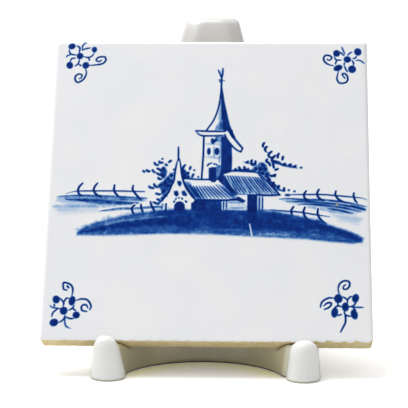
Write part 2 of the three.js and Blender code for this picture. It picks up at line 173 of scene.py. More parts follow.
def stand_distance(x, y, z):
    """Signed distance in millimetres to the porcelain stand, negative inside."""
    u = (y - EDGE_SETBACK) * math.sin(LEAN) + (z - EDGE_HEIGHT) * math.cos(LEAN)
    w = -(y - EDGE_SETBACK) * math.cos(LEAN) + (z - EDGE_HEIGHT) * math.sin(LEAN)
    taper_length = TILE_SIDE - REST_STRAIGHT_SIDE
    taper = (REST_FOOT_WIDTH - REST_TOP_WIDTH) / taper_length / 2
    half_width = REST_FOOT_WIDTH / 2 - taper * np.maximum(u - REST_STRAIGHT_SIDE, 0.0)
    side = (np.abs(x) - half_width) / math.hypot(1.0, taper)
    front = w - REST_FRONT
    bevel = side * REST_BEVEL_DEPTH + front * REST_BEVEL_WIDTH + REST_BEVEL_WIDTH * REST_BEVEL_DEPTH
    bevel = bevel / math.hypot(REST_BEVEL_WIDTH, REST_BEVEL_DEPTH)
    t = np.clip(z / STAND_HEIGHT, 0.0, 1.1)
    rear_y = (1 - t) ** 2 * REAR_CURVE[0] + 2 * t * (1 - t) * REAR_CURVE[1] + t * t * REAR_CURVE[2]
    rest = round_edge(round_edge(front, bevel, STAND_EDGE), z - TONGUE_HEIGHT, TONGUE_EDGE)
    rest = round_edge(rest, side, TONGUE_SIDE_EDGE)
    rest = round_edge(rest, y - rear_y, STAND_EDGE)
    horseshoe = HORSESHOE_RADIUS + HORSESHOE_LEAN * np.clip(z, 0.0, HORSESHOE_TOP)
    horseshoe = horseshoe - np.hypot(x - HORSESHOE_X, y - HORSESHOE_Y)
    rest = round_edge(rest, horseshoe, STAND_EDGE)
    arms = round_edge(round_edge(horseshoe, ARM_FRONT - y, ARM_EDGE), z - ARM_TOP, ARM_EDGE)
    arms = np.maximum(np.maximum(arms, np.abs(x) - ARM_OUTSIDE), y - TOE_ROOT)
    toes = np.minimum(*(toe_distance(x, y, z, toe) for toe in TOES))
    body = round_corner(np.minimum(rest, arms), toes, TOE_BLEND)
    hollow = round_edge(w - REST_FRONT + SHELL_WALL, side + SHELL_WALL, HOLLOW_EDGE)
    for wall in (u - HOLLOW_TOP, horseshoe + SHELL_WALL, TOE_WALL - toes):
        hollow = round_edge(hollow, wall, HOLLOW_EDGE)
    body = round_edge(body, -hollow, STAND_EDGE)
    room = np.maximum(-u - SEAT_CLEARANCE, np.maximum(w - SEAT_CLEARANCE, REST_FRONT - w))
    body = round_edge(body, -room, SEAT_EDGE)
    return round_edge(body, -z, FOOT_EDGE)


def distance_mesh(distance, low, high, step):
    """A closed mesh of quads on the zero surface of a distance field, one vertex in each cell it crosses."""
    axes = [np.arange(a - step * GRID_OFFSET, b + step * GRID_MARGIN, step) for a, b in zip(low, high)]
    values = distance(*np.meshgrid(*axes, indexing="ij", sparse=True))
    inside = values < 0.0
    shape = [n - 1 for n in values.shape]
    total = np.zeros(shape + [3])
    count = np.zeros(shape)
    crossings = []
    for axis in range(3):
        start, end = [slice(None)] * 3, [slice(None)] * 3
        start[axis], end[axis] = slice(0, -1), slice(1, None)
        start, end = tuple(start), tuple(end)
        crossed = inside[start] != inside[end]
        gap = values[start] - values[end]
        share = np.where(crossed, values[start] / np.where(gap == 0.0, 1.0, gap), 0.0)
        crossings.append((crossed, inside[start]))
        one, other = [a for a in range(3) if a != axis]
        for first in (0, 1):
            for second in (0, 1):
                part = [slice(None)] * 3
                part[one] = slice(first, first + shape[one])
                part[other] = slice(second, second + shape[other])
                mask = crossed[tuple(part)]
                total[..., axis] += np.where(mask, share[tuple(part)], 0.0)
                total[..., one] += mask * first
                total[..., other] += mask * second
                count += mask
    cells = np.argwhere(count > 0)
    index = np.full(shape, -1)
    index[tuple(cells.T)] = np.arange(len(cells))
    picked = total[tuple(cells.T)] / count[tuple(cells.T)][:, None] + cells
    points = np.stack([axes[a][0] + step * picked[:, a] for a in range(3)], axis=1)
    faces = []
    for axis, (crossed, was_inside) in enumerate(crossings):
        b, c = (axis + 1) % 3, (axis + 2) % 3
        edges = np.argwhere(crossed)
        low_enough = (edges[:, b] < shape[b]) & (edges[:, c] < shape[c])
        edges = edges[low_enough & (edges[:, b] > 0) & (edges[:, c] > 0)]
        corners = []
        for db, dc in ((1, 1), (0, 1), (0, 0), (1, 0)):
            cell = edges.copy()
            cell[:, b] -= db
            cell[:, c] -= dc
            corners.append(index[tuple(cell.T)])
        quads = np.stack(corners, axis=1)
        flip = ~was_inside[tuple(edges.T)]
        quads[flip] = quads[flip][:, ::-1]
        faces.append(quads)
    for _ in range(SETTLE_ROUNDS):
        points = settle(points, distance)
    return points, np.concatenate(faces)


def settle(points, distance, reach=0.05, most=0.33, least_slope=0.3):
    """Moves each point straight onto the zero surface, by at most a third of a millimetre."""
    here = distance(*points.T)
    slope = np.stack([
        distance(*(points + reach * step).T) - distance(*(points - reach * step).T) for step in np.eye(3)],
        axis=1) / (2 * reach)
    length = np.maximum(np.linalg.norm(slope, axis=1), least_slope)
    move = np.clip(here / length, -most, most)
    return points - slope / length[:, None] * move[:, None]


def porcelain_stand():
    """The stand, with an attribute of painted shade and painted warm light off the clay on the round wall
    under the tile.
    """
    half_foot = REST_FOOT_WIDTH / 2
    low, high = (-half_foot - 1.0, 0.0, 0.0), (half_foot + 1.0, STAND_DEPTH, STAND_HEIGHT)
    points, faces = distance_mesh(stand_distance, low, high, STAND_STEP)
    metres = points * MM
    metres[:, 1] -= STAND_DEPTH / 2 * MM
    piece = make_object("porcelain_stand", metres, faces)
    x, y, z = points.T
    radius = HORSESHOE_RADIUS + HORSESHOE_LEAN * z
    wall = 1.0 - ease(np.abs(np.hypot(x - HORSESHOE_X, y - HORSESHOE_Y) - radius), 0.0, WALL_SHADE_REACH)
    inside = ease(y, *WALL_SHADE_FRONT) * ease(HORSESHOE_TOP - z, *WALL_SHADE_TOP)
    shaded = WALL_SHADE_RIGHT + (1.0 - WALL_SHADE_RIGHT) * ease(-x, *WALL_SHADE_LEFT)
    # Painted shade on the round wall under the tile, stronger towards the left
    set_attribute(piece, "wall_shade", np.sqrt(wall) * inside * shaded)
    return piece


# Nodes of a material, joined by short helpers.
def material(name):
    made = bpy.data.materials.new(name)
    made.use_nodes = True
    return made, made.node_tree, made.node_tree.nodes["Principled BSDF"]


def feed(tree, socket, value):
    """Links another node's output to a socket, or sets the socket to a plain value."""
    if hasattr(value, "links"):
        tree.links.new(value, socket)
    else:
        socket.default_value = value


def fill(tree, node, **inputs):
    """Feeds a node's inputs by name. An underscore stands for a space."""
    for name, value in inputs.items():
        feed(tree, node.inputs[name.replace("_", " ")], value)


def add(tree, kind, **inputs):
    node = tree.nodes.new("ShaderNode" + kind)
    fill(tree, node, **inputs)
    return node


def object_place(tree):
    return add(tree, "TexCoord").outputs["Object"]


def object_axes(tree):
    return add(tree, "SeparateXYZ", Vector=object_place(tree)).outputs


def object_noise(tree, scale, detail=2.0, roughness=0.5):
    noise = add(tree, "TexNoise", Scale=scale, Detail=detail, Roughness=roughness, Vector=object_place(tree))
    return noise.outputs["Fac"]


def attribute(tree, name):
    node = add(tree, "Attribute")
    node.attribute_name = name
    return node.outputs["Fac"]


def distance_from(tree, point):
    """How far a place on the object is from a fixed point of it."""
    node = add(tree, "VectorMath")
    node.operation = "DISTANCE"
    feed(tree, node.inputs[0], object_place(tree))
    feed(tree, node.inputs[1], point)
    return node.outputs["Value"]


def maths(tree, operation, *values):
    node = add(tree, "Math")
    node.operation = operation
    for socket, value in zip(node.inputs, values):
        feed(tree, socket, value)
    return node.outputs[0]


def map_range(tree, value, from_low, from_high, to_low=0.0, to_high=1.0):
    return add(tree, "MapRange", Value=value, From_Min=from_low, From_Max=from_high, To_Min=to_low,
               To_Max=to_high).outputs["Result"]


def ramp(tree, value, stops):
    node = add(tree, "ValToRGB", Fac=value)
    elements = node.color_ramp.elements
    while len(elements) < len(stops):
        elements.new(0.5)
    for element, (place, colour) in zip(elements, stops):
        element.position = place
        element.color = shade(colour)
    return node.outputs["Color"]


def mix_colour(tree, share, first, second, blend="MIX"):
    node = add(tree, "Mix")
    node.data_type = "RGBA"
    node.blend_type = blend
    feed(tree, node.inputs[0], share)
    for socket, value in ((node.inputs[6], first), (node.inputs[7], second)):
        feed(tree, socket, value if hasattr(value, "links") else shade(value))
    return node.outputs[2]


def bump(tree, height, strength, distance, **under):
    return add(tree, "Bump", Strength=strength, Distance=distance, Height=height, **under).outputs["Normal"]


# Heights on the stand, in metres: bare foot, where the white starts and ends to grey as painted shade, and
# the tongue's rim, painted lighter as a painted highlight.
FOOT_HEIGHTS = (0.0004, 0.0009)
SHADE_HEIGHTS = (0.03, 0.125)
RIM_LIGHT_HEIGHTS = (0.129, 0.1365)


def porcelain_material():
    made, tree, shader = material("white_porcelain")
    height = object_axes(tree)["Z"]
    wall_shade = attribute(tree, "wall_shade")
    cloud = object_noise(tree, 60.0, 3.0)
    low = ramp(tree, cloud, [(0.3, (235, 236, 232)), (0.7, (241, 241, 238))])
    high = ramp(tree, cloud, [(0.3, (201, 200, 197)), (0.7, (208, 207, 204))])
    # Painted shade: the white greys towards the top of the stand
    height_shade = mix_colour(tree, map_range(tree, height, *SHADE_HEIGHTS), low, high)
    rim_light = map_range(tree, height, *RIM_LIGHT_HEIGHTS)
    # Painted highlight: the tongue's rim is lighter
    height_shade = mix_colour(tree, rim_light, height_shade, (217, 216, 214))
    # The round wall under the tile is darkened and warmed: painted shade and painted warm light off the clay
    depth = ramp(tree, wall_shade, [(0.0, 1.0), (0.6, (241, 233, 200)), (1.0, (206, 200, 174))])
    shaded_glaze = mix_colour(tree, 1.0, height_shade, depth, "MULTIPLY")
    foot = map_range(tree, height, *FOOT_HEIGHTS, 1.0, 0.0)
    # Along the round wall the bare foot is much darker: a painted contact shadow
    bare = ramp(tree, wall_shade, [(0.0, (190, 182, 158)), (0.5, (84, 76, 52))])
    rough = ramp(tree, foot, [(0.0, 0.16), (1.0, 0.75)])
    fill(tree, shader, Base_Color=mix_colour(tree, foot, shaded_glaze, bare),
         Roughness=mix_colour(tree, rim_light, rough, 0.34),
         Normal=bump(tree, object_noise(tree, 110.0, 1.0), 0.12, 0.0006))
    return made


def clay_material():
    made, tree, shader = material("fired_clay")
    patches = object_noise(tree, 180.0, 6.0, 0.6)
    grains = object_noise(tree, 2200.0, 3.0, 0.6)
    base = ramp(tree, patches, [(0.28, (207, 187, 134)), (0.5, (221, 202, 151)), (0.74, (232, 217, 174))])
    specks = ramp(tree, grains, [(0.36, 0.72), (0.5, 1.0), (0.68, 1.18)])
    coarse = bump(tree, object_noise(tree, 500.0, 5.0, 0.65), 0.6, 0.0006)
    fill(tree, shader, Base_Color=mix_colour(tree, 1.0, base, specks, "MULTIPLY"), Roughness=0.92,
         Normal=bump(tree, grains, 0.5, 0.00025, Normal=coarse))
    return made


GLAZE_LIGHT = (248, 248, 249)
GLAZE_DARK = (244, 245, 248)
PAINT_RAMP = [
    (0.0, GLAZE_LIGHT), (0.12, (196, 214, 236)), (0.3, (128, 172, 220)), (0.55, (38, 94, 172)),
    (0.76, (0, 54, 142)), (0.92, (0, 36, 116)), (1.0, (0, 27, 98)),
]
BURST_X = 51.6
BURST_Y = -8.0
BURST_RADII = (0.0003, 0.0008)
BURST_COVER = 0.75
PIT_SCALE = 260.0
PIT_STOPS = [(0.0, 0.0), (0.055, 0.0), (0.085, 1.0)]


def glaze_material(name):
    """The tin glaze, and the paint that is melted into it where the attribute paint is above 0."""
    made, tree, shader = material(name)
    white = ramp(tree, object_noise(tree, 45.0, 4.0), [(0.35, GLAZE_DARK), (0.65, GLAZE_LIGHT)])
    cells = add(tree, "TexVoronoi", Scale=PIT_SCALE, Randomness=1.0, Vector=object_place(tree))
    pit = ramp(tree, cells.outputs["Distance"], PIT_STOPS)
    sparse = ramp(tree, object_noise(tree, 95.0, 1.0), [(0.55, 1.0), (0.6, 0.0)])
    open_pit = mix_colour(tree, 1.0, pit, sparse, "LIGHTEN")
    tinted = mix_colour(tree, open_pit, (226, 224, 220), white)
    paint = attribute(tree, "paint")
    cover = ramp(tree, paint, [(0.0, 0.0), (0.06, 1.0)])
    painted = mix_colour(tree, cover, tinted, ramp(tree, paint, PAINT_RAMP))
    # A pinhole over the right-hand water has burst open to the tan clay
    burst = distance_from(tree, tile_point(BURST_X, BURST_Y + TILE_SIDE / 2, 0.0))
    open_clay = map_range(tree, burst, *BURST_RADII, BURST_COVER, 0.0)
    swell = bump(tree, object_noise(tree, 70.0, 2.0), 0.25, 0.0008)
    fill(tree, shader, Base_Color=mix_colour(tree, open_clay, painted, (196, 180, 112)), Roughness=0.22,
         Specular_IOR_Level=0.35, Normal=bump(tree, open_pit, 0.4, 0.0002, Normal=swell))
    return made


# The tile's outline, as loops of points round a square with small round corners.
LOOP_STEP = 0.5
CORNER_RADIUS = 1.3
CORNER_STEPS = 8
GLAZE_THICKNESS = 0.3
TOP_EDGE_RADIUS = 1.5
LOW_EDGE_RADIUS = 0.55
# How far above the lower edge the tile counts as its bottom, and over what length that eases in.
BOTTOM_MARGIN = 2.2
BOTTOM_EASE = 1.4
# The rim of the glaze: how far it runs down the sides, and past the rounding of the lower edge.
RIM_DEPTH = 5.8
LOW_RIM_DEPTH = 0.12
# The lower edge is worn back in small waves, least at the left, and up to their full height at the right.
WORN_LEAST = 0.1
WORN_SHARE = 0.22
WORN_LEFT = 0.3
WORN_RIGHT = (28.0, 14.0)
# Seed, wave lengths and heights of each wavy line, in millimetres.
WORN_WAVES = (5, (5.4, 3.6, 10.5), (0.3, 0.14, 0.12))
RIM_WAVES = (3, (65.0, 29.0, 11.0), (0.7, 0.35, 0.12))
CLAY_WAVES = (11, (9.0, 4.1, 2.3, 1.3), (0.05, 0.04, 0.03, 0.03))
SIDE_WAVES = (17, (6.0, 2.7), (0.04, 0.03))


def square_loop():
    """Points round the tile's outline, with how far along the whole outline each lies."""
    centre = TILE_SIDE / 2 - CORNER_RADIUS
    side_steps = int(round(2 * centre / LOOP_STEP))
    shares = 2.0 * np.arange(side_steps) / side_steps - 1.0
    points = []
    for turn in range(4):
        angle = turn * math.pi / 2
        side = [(share * centre, -(centre + CORNER_RADIUS)) for share in shares]
        for bend in np.arange(CORNER_STEPS) * math.pi / 2 / CORNER_STEPS:
            across, down = CORNER_RADIUS * math.sin(bend), CORNER_RADIUS * math.cos(bend)
            side.append((centre + across, -(centre + down)))
        for across, down in side:
            points.append((across * math.cos(angle) - down * math.sin(angle),
                           across * math.sin(angle) + down * math.cos(angle)))
    return np.array(points), np.arange(len(points)) / len(points)


def waves(places, seed, lengths, heights):
    """A smooth line that rises and falls with several wave lengths, each with its own chance start."""
    chance = np.random.default_rng(seed)
    line = np.zeros(len(places))
    for length, height in zip(lengths, heights):
        turns = round(4 * TILE_SIDE / length)
        line += height * np.sin(places * turns * 2 * math.pi + chance.uniform(0, 2 * math.pi))
    return line


def loops_to_mesh(name, loops):
    """A closed mesh from a list of loops of equal length, capped at both ends."""
    size = len(loops[0])
    faces = []
    for row in range(len(loops) - 1):
        here, after = row * size, (row + 1) * size
        for i, j in enumerate(np.roll(np.arange(size), -1)):
            faces.append((here + i, after + i, after + j, here + j))
    faces.append(tuple(range(size)))
    faces.append(tuple(range((len(loops) - 1) * size, len(loops) * size))[::-1])
    return make_object(name, np.concatenate(loops), faces)


def at_bottom(loop):
    """1 along the tile's lower edge, 0 elsewhere, easing over at the two lower corners."""
    return ease(-loop[:, 1], TILE_SIDE / 2 - BOTTOM_MARGIN, BOTTOM_EASE)


def skin_loop(loop, inset, w):
    """The outline in metres, drawn in by an inset at the height w above the tile's face."""
    x, y = (loop * (1 - np.broadcast_to(inset, len(loop)) / (TILE_SIDE / 2))[:, None]).T
    return tile_point(x, y + TILE_SIDE / 2, np.broadcast_to(w, len(loop)))


def tile_glaze():
    """The glaze as a closed skin: over the face, round its edge, and down the sides to a wavy rim."""
    loop, places = square_loop()
    low = at_bottom(loop)
    rough_end = WORN_LEFT + (1.0 - WORN_LEFT) * ease(loop[:, 0], *WORN_RIGHT)
    worn = low * (WORN_LEAST + np.maximum((waves(places, *WORN_WAVES) + WORN_SHARE) * rough_end, 0.0))
    radius = TOP_EDGE_RADIUS * (1 - low) + LOW_EDGE_RADIUS * low
    wide = RIM_DEPTH + waves(places, *RIM_WAVES)
    depth = wide * (1 - low) + (radius + LOW_RIM_DEPTH) * low
    thick = GLAZE_THICKNESS
    inner = np.maximum(radius - thick, 0.1)
    profile = [(radius + 1.2, -thick)]
    for bend in np.linspace(0, math.pi / 2, 4):
        profile.append((radius - inner * math.sin(bend), -radius + inner * math.cos(bend)))
    profile += [(thick, -depth + 0.1), (0.6 * thick, -depth), (0.2 * thick, -depth + 0.05)]
    profile.append((0.0, -depth + 0.1))
    for bend in np.linspace(math.pi / 2, 0, 8):
        profile.append((radius * (1 - math.sin(bend)), -radius * (1 - math.cos(bend))))
    profile.append((radius + 0.3, 0.0))
    return loops_to_mesh("glaze_skin", [skin_loop(loop, worn + inset, w)[::-1] for inset, w in profile])


def tile_clay():
    """The biscuit body: a slab with worn edges and sides that aren't quite straight."""
    loop, places = square_loop()
    low = at_bottom(loop)
    side = (GLAZE_THICKNESS + 0.02) * (1 - low) + 0.03 * low
    rough = waves(places, *CLAY_WAVES)
    rough = rough - rough.min()
    back = -TILE_THICKNESS
    profile = [(2.2, -0.5), (side + 0.5, -0.52), (side + 0.15 + 0.3 * rough, -0.66)]
    for share in np.linspace(0.1, 0.94, 8):
        waver = waves(places + share * 0.013, *SIDE_WAVES)
        profile.append((side + 0.6 * rough + np.abs(waver), back * share))
    profile += [(side + 0.12 + rough, back + 0.22), (side + 0.4 + rough, back + 0.04), (side + 0.9, back)]
    return loops_to_mesh("clay_body", [skin_loop(loop, inset, w) for inset, w in profile])


PAINT_CELL = 0.25
PAINT_SPREAD = 0.11
PAINT_TOP = 0.02
VILLAGE_TOP = 0.03
PAINT_ROOT = -0.05
PAINT_LEAST = 0.02
MOST_COVER = 0.995
LINE_TAPER = 0.25
# Sizes of the grain in the paint, in millimetres, how much each counts, and how strong it is in all.
GRAINS = ((1.9, 0.4), (0.8, 0.35), (0.38, 0.25))
GRAIN_CONTRAST = 1.7
CHANCE_SIZE = 64
# Seeds of the grain by kind of stroke. Those of lines and spots start again after the cycle.
LINE_SEED, SPOT_SEED, WASH_SEED, SPECKLE_SEED = 31, 71, 131, 211
SEED_CYCLE = 40


def sheet(low, high):
    """An empty piece of the face to paint on: how bare each of its points still is."""
    x, y = np.meshgrid(*(np.arange(a, b, PAINT_CELL) for a, b in zip(low, high)), indexing="ij")
    return {"x": x, "y": y, "bare": np.ones(x.shape)}


def mottle(x, y, size_x, size_y, seed):
    """Smooth chance values from 0 to 1, that change over the given sizes."""
    chance = np.random.default_rng(seed).random((CHANCE_SIZE, CHANCE_SIZE))
    gx, gy = x / size_x + 200.0, y / size_y + 200.0
    ix, iy = np.floor(gx).astype(int), np.floor(gy).astype(int)
    fx, fy = gx - ix, gy - iy
    fx, fy = fx * fx * (3 - 2 * fx), fy * fy * (3 - 2 * fy)
    left, right = ix % CHANCE_SIZE, (ix + 1) % CHANCE_SIZE
    near, far = (chance[left, row % CHANCE_SIZE] * (1 - fx) + chance[right, row % CHANCE_SIZE] * fx
                 for row in (iy, iy + 1))
    return near * (1 - fy) + far * fy


def grain(x, y, seed):
    """Fine uneven paint, from 0 to 1."""
    total = sum(share * mottle(x, y, size, size, seed + layer) for layer, (size, share) in enumerate(GRAINS))
    return np.clip((total - 0.5) * GRAIN_CONTRAST + 0.5, 0, 1)


# The painting. Each brush stroke was placed on the tile's face, x right and y up from its middle.
# A stroke or an outline is x, y, x, y and so on in tenths of a millimetre, and widths are in millimetres.
# The grain of each stroke's paint has a seed of its own, from how many strokes were laid before it.
strokes_laid = [0]
FENCE_POST = {"width": 0.84, "tone": 1.0, "ends": (0.8, 0.5), "soft": 0.2, "dry": 0.06}


def millimetres(stroke):
    return np.reshape(stroke, (-1, 2)) / 10.0


def window(page, points, margin):
    """The part of the page round some points, and where its own points are."""
    start = page["x"][0, 0], page["y"][0, 0]
    low, high = np.min(points, axis=0) - margin - start, np.max(points, axis=0) + margin - start
    area = tuple(
        slice(int(max(a / PAINT_CELL, 0)), int(max(b / PAINT_CELL + 2, 0))) for a, b in zip(low, high))
    return area, page["x"][area], page["y"][area]


def lay(page, area, cover):
    strokes_laid[0] += 1
    page["bare"][area] *= 1 - np.clip(cover, 0, MOST_COVER)


def uncover(page, area, share):
    page["bare"][area] += (1 - page["bare"][area]) * share


def curve(points, step=0.12):
    """A Catmull-Rom curve through the points, in short steps."""
    if len(points) == 2:
        count = max(int(np.linalg.norm(points[1] - points[0]) / step), 2)
        return points[0] + (points[1] - points[0]) * np.linspace(0, 1, count)[:, None]
    held = np.vstack([2 * points[0] - points[1], points, 2 * points[-1] - points[-2]])
    parts = []
    for a, b, c, d in zip(held[:-3], held[1:-2], held[2:-1], held[3:]):
        count = max(int(np.linalg.norm(c - b) / step), 2)
        t = np.linspace(0, 1, count, endpoint=False)[:, None]
        parts.append(0.5 * (2 * b + (c - a) * t + (2 * a - 5 * b + 4 * c - d) * t * t
                            + (3 * b - a - 3 * c + d) * t ** 3))
    return np.vstack(parts + [points[-1:]])


def curve_gap(x, y, path, widths):
    """How far each point is from the nearest part of a line with these half widths."""
    return (np.hypot(x[..., None] - path[:, 0], y[..., None] - path[:, 1]) - widths).min(axis=-1)


def line(page, stroke, width, tone, ends=(0.5, 0.5), soft=0.3, dry=0.25):
    """One brush line: full in the middle, thinner at its ends and a little uneven."""
    points = millimetres(stroke)
    if len(points) == 1:
        points = np.vstack([points, points + (0.05, 0.0)])
    path = curve(points)
    area, x, y = window(page, path, width + 0.5)
    places = np.linspace(0, 1, len(path))
    start, finish = ease(places, 0.0, LINE_TAPER), ease(1 - places, 0.0, LINE_TAPER)
    widths = width / 2 * (ends[0] + (1 - ends[0]) * start) * (ends[1] + (1 - ends[1]) * finish)
    cover = np.clip(0.5 - curve_gap(x, y, path, widths) / soft, 0, 1)
    seed = LINE_SEED + (strokes_laid[0] + 1) % SEED_CYCLE
    lay(page, area, tone * cover * (1 - dry * grain(x, y, seed)))


def lines(page, strokes, width, tone, **how):
    for stroke in strokes:
        line(page, stroke, width, tone, **how)


def dabs(page, strokes, width, tone, **how):
    """Short touches of the brush, round at both ends."""
    lines(page, strokes, width, tone, ends=(0.85, 0.85), **how)


def spots(page, ovals, tone=0.97, soft=0.35):
    """Oval blobs: x, y, width and height in tenths of a millimetre, and the turn in degrees."""
    for x0, y0, wide, high, turn in ovals:
        x0, y0, wide, high = x0 / 10, y0 / 10, wide / 10, high / 10
        area, x, y = window(page, [(x0 - wide, y0 - high), (x0 + wide, y0 + high)], 0.6)
        c, s = math.cos(math.radians(turn)), math.sin(math.radians(turn))
        across = ((x - x0) * c + (y - y0) * s) / (wide / 2)
        along = (-(x - x0) * s + (y - y0) * c) / (high / 2)
        cover = np.clip(0.5 - (np.hypot(across, along) - 1) * min(wide, high) / 2 / soft, 0, 1)
        seed = SPOT_SEED + (strokes_laid[0] + 1) % SEED_CYCLE
        lay(page, area, tone * cover * (1 - 0.2 * grain(x, y, seed)))


def outline_gap(x, y, outline):
    """Distance to a closed outline, negative inside it."""
    inside = np.zeros(x.shape, dtype=bool)
    nearest = np.full(x.shape, 1e9)
    for (ax, ay), (bx, by) in zip(outline, np.roll(outline, -1, axis=0)):
        dx, dy = bx - ax, by - ay
        t = np.clip(((x - ax) * dx + (y - ay) * dy) / max(dx * dx + dy * dy, 1e-9), 0, 1)
        nearest = np.minimum(nearest, np.hypot(x - ax - t * dx, y - ay - t * dy))
        inside ^= ((ay > y) != (by > y)) & (x < dx * (y - ay) / (dy if dy else 1e-9) + ax)
    return np.where(inside, -nearest, nearest)


def wash(page, outline, tone, soft=0.35, uneven=0.3, streak=None, ragged=0.0):
    """A filled patch, uneven inside, with a soft or ragged edge. A streak is the size of its brush marks."""
    outline = millimetres(outline)
    seed = WASH_SEED + strokes_laid[0] + 1
    area, x, y = window(page, outline, soft + ragged + 0.5)
    gap = outline_gap(x, y, outline)
    if ragged:
        gap = gap + ragged * (grain(x, y, seed + 5) - 0.5) * 2
    noise = grain(x, y, seed)
    if streak:
        noise = 0.35 * noise + 0.65 * mottle(x, y, *streak, seed + 9)
    lay(page, area, tone * np.clip(0.5 - gap / soft, 0, 1) * (1 - uneven * noise))


def lift(page, stroke, width, keep=0.15, soft=0.3):
    """A pale line left or scratched out of the paint."""
    path = curve(millimetres(stroke))
    area, x, y = window(page, path, width + 0.5)
    uncover(page, area, np.clip(0.5 - curve_gap(x, y, path, width / 2) / soft, 0, 1) * (1 - keep))


def speckle(page, outline, share, soft=2.0):
    """Fine pale grains where the paint lies thin."""
    strokes_laid[0] += 1
    outline = millimetres(outline)
    area, x, y = window(page, outline, soft + 0.5)
    pale = np.clip(2.2 * grain(x, y, SPECKLE_SEED + strokes_laid[0]) - 0.9, 0, 1)
    uncover(page, area, share * np.clip(0.5 - outline_gap(x, y, outline) / soft, 0, 1) * pale)


def blur(values, radius):
    """Softens the paint as melting into the glaze does."""
    reach = int(3 * radius / PAINT_CELL) + 1
    steps = np.arange(-reach, reach + 1) * PAINT_CELL
    weights = np.exp(-0.5 * (steps / radius) ** 2)
    weights /= weights.sum()
    for axis in (0, 1):
        padded = np.pad(values, [(reach, reach) if a == axis else (0, 0) for a in (0, 1)])
        values = sum(weight * np.take(padded, np.arange(values.shape[axis]) + shift, axis=axis)
                     for shift, weight in enumerate(weights))
    return values


def fill_diagonals(full):
    """Fills a cell beside each pair of cells that touch only at a corner, so that the plate stays solid."""
    while True:
        a, b, c, d = full[:-1, :-1], full[1:, 1:], full[1:, :-1], full[:-1, 1:]
        falling, rising = a & b & ~c & ~d, c & d & ~a & ~b
        if not falling.any() and not rising.any():
            return full
        full = full.copy()
        full[1:, :-1] |= falling
        full[:-1, :-1] |= rising


def film(name, page, top):
    """A thin closed plate of paint wherever a page isn't bare, its strength in the attribute paint."""
    paint = blur(1 - page["bare"], PAINT_SPREAD)
    paint[[0, -1], :] = 0
    paint[:, [0, -1]] = 0
    full = np.maximum.reduce([paint[:-1, :-1], paint[1:, :-1], paint[:-1, 1:], paint[1:, 1:]]) > PAINT_LEAST
    full = fill_diagonals(full)
    rows, columns = full.shape
    used = np.zeros(paint.shape, dtype=bool)
    for di in (0, 1):
        for dj in (0, 1):
            used[di:di + rows, dj:dj + columns] |= full
    count = int(used.sum())
    index = np.full(paint.shape, -1)
    index[used] = np.arange(count)

    def corners(cells):
        i, j = np.nonzero(cells)
        return np.stack([index[i, j], index[i + 1, j], index[i + 1, j + 1], index[i, j + 1]], axis=1)

    x, u = page["x"][used], page["y"][used] + TILE_SIDE / 2
    sides = [tile_point(x, u, np.full(count, w)) for w in (top, PAINT_ROOT)]
    quad = corners(full)
    faces = [quad, quad[:, ::-1] + count]
    framed = np.pad(full, 1)
    for di, dj, a, b in ((-1, 0, 3, 0), (1, 0, 1, 2), (0, -1, 0, 1), (0, 1, 2, 3)):
        edge = corners(full & ~framed[1 + di:1 + di + rows, 1 + dj:1 + dj + columns])
        faces.append(np.stack([edge[:, b], edge[:, a], edge[:, a] + count, edge[:, b] + count], axis=1))
    piece = make_object(name, np.concatenate(sides), np.concatenate(faces), smooth=False)
    set_attribute(piece, "paint", np.tile(paint[used], 2))
    return piece


def paint_steeple(page):
    lines(page, [(32, 516, 43, 490, 46, 478), (51.5, 524, 50, 496, 47, 478)], 0.75, 0.95)
    dabs(page, [(47, 479, 46, 440)], 0.8, 1.0)
    dabs(page, [(35, 470, 43, 469), (38, 461, 44, 460)], 0.5, 1.0, soft=0.2)
    dabs(page, [(52, 468, 59, 466)], 0.45, 0.6)
    left = (46, 444, 43.5, 405, 40, 371, 33.5, 337, 24.5, 307, 12, 279, -1, 259, -14, 239)
    line(page, left, 0.62, 1.0, ends=(0.9, 1.0), soft=0.2, dry=0.1)
    wash(page, (47, 442, 49.5, 436, 54, 410, 60, 370, 68, 334, 76, 296, 84, 264, 94, 240, 60, 240, 54, 252,
        53, 281, 49, 299, 47, 334, 46, 375), 0.97, uneven=0.22)
    wash(page, (40, 370, 49, 370, 52, 310, 52, 260, 42, 250, 36, 295), 0.3, soft=0.9)
    wash(page, (46, 280, 62, 274, 65, 242, 22, 242, 27, 263), 0.62, soft=0.8, uneven=0.5)
    lines(page, [(56, 330, 64, 280), (50, 310, 46, 265)], 0.5, 0.4)


def paint_eaves(page):
    line(page, (-56, 240, -15, 238.5, 65, 237), 0.7, 1.0, ends=(0.8, 0.6), dry=0.1)
    line(page, (-53, 236, -46, 227, -37, 221, -23.5, 218, 26, 218, 59, 221), 0.65, 1.0, dry=0.1)
    line(page, (91, 240, 98, 213, 115, 189, 136, 163), 0.85, 1.0, ends=(1.0, 0.8))
    line(page, (82, 242, 92, 224, 103, 206), 1.4, 0.95, ends=(1.0, 0.6))
    line(page, (136, 163, 129, 147), 0.62, 1.0, ends=(1.0, 1.0), soft=0.2, dry=0.1)
    line(page, (63, 223, 74, 200, 94, 173, 112, 156, 129, 147), 0.65, 1.0, ends=(0.9, 0.9), dry=0.1)


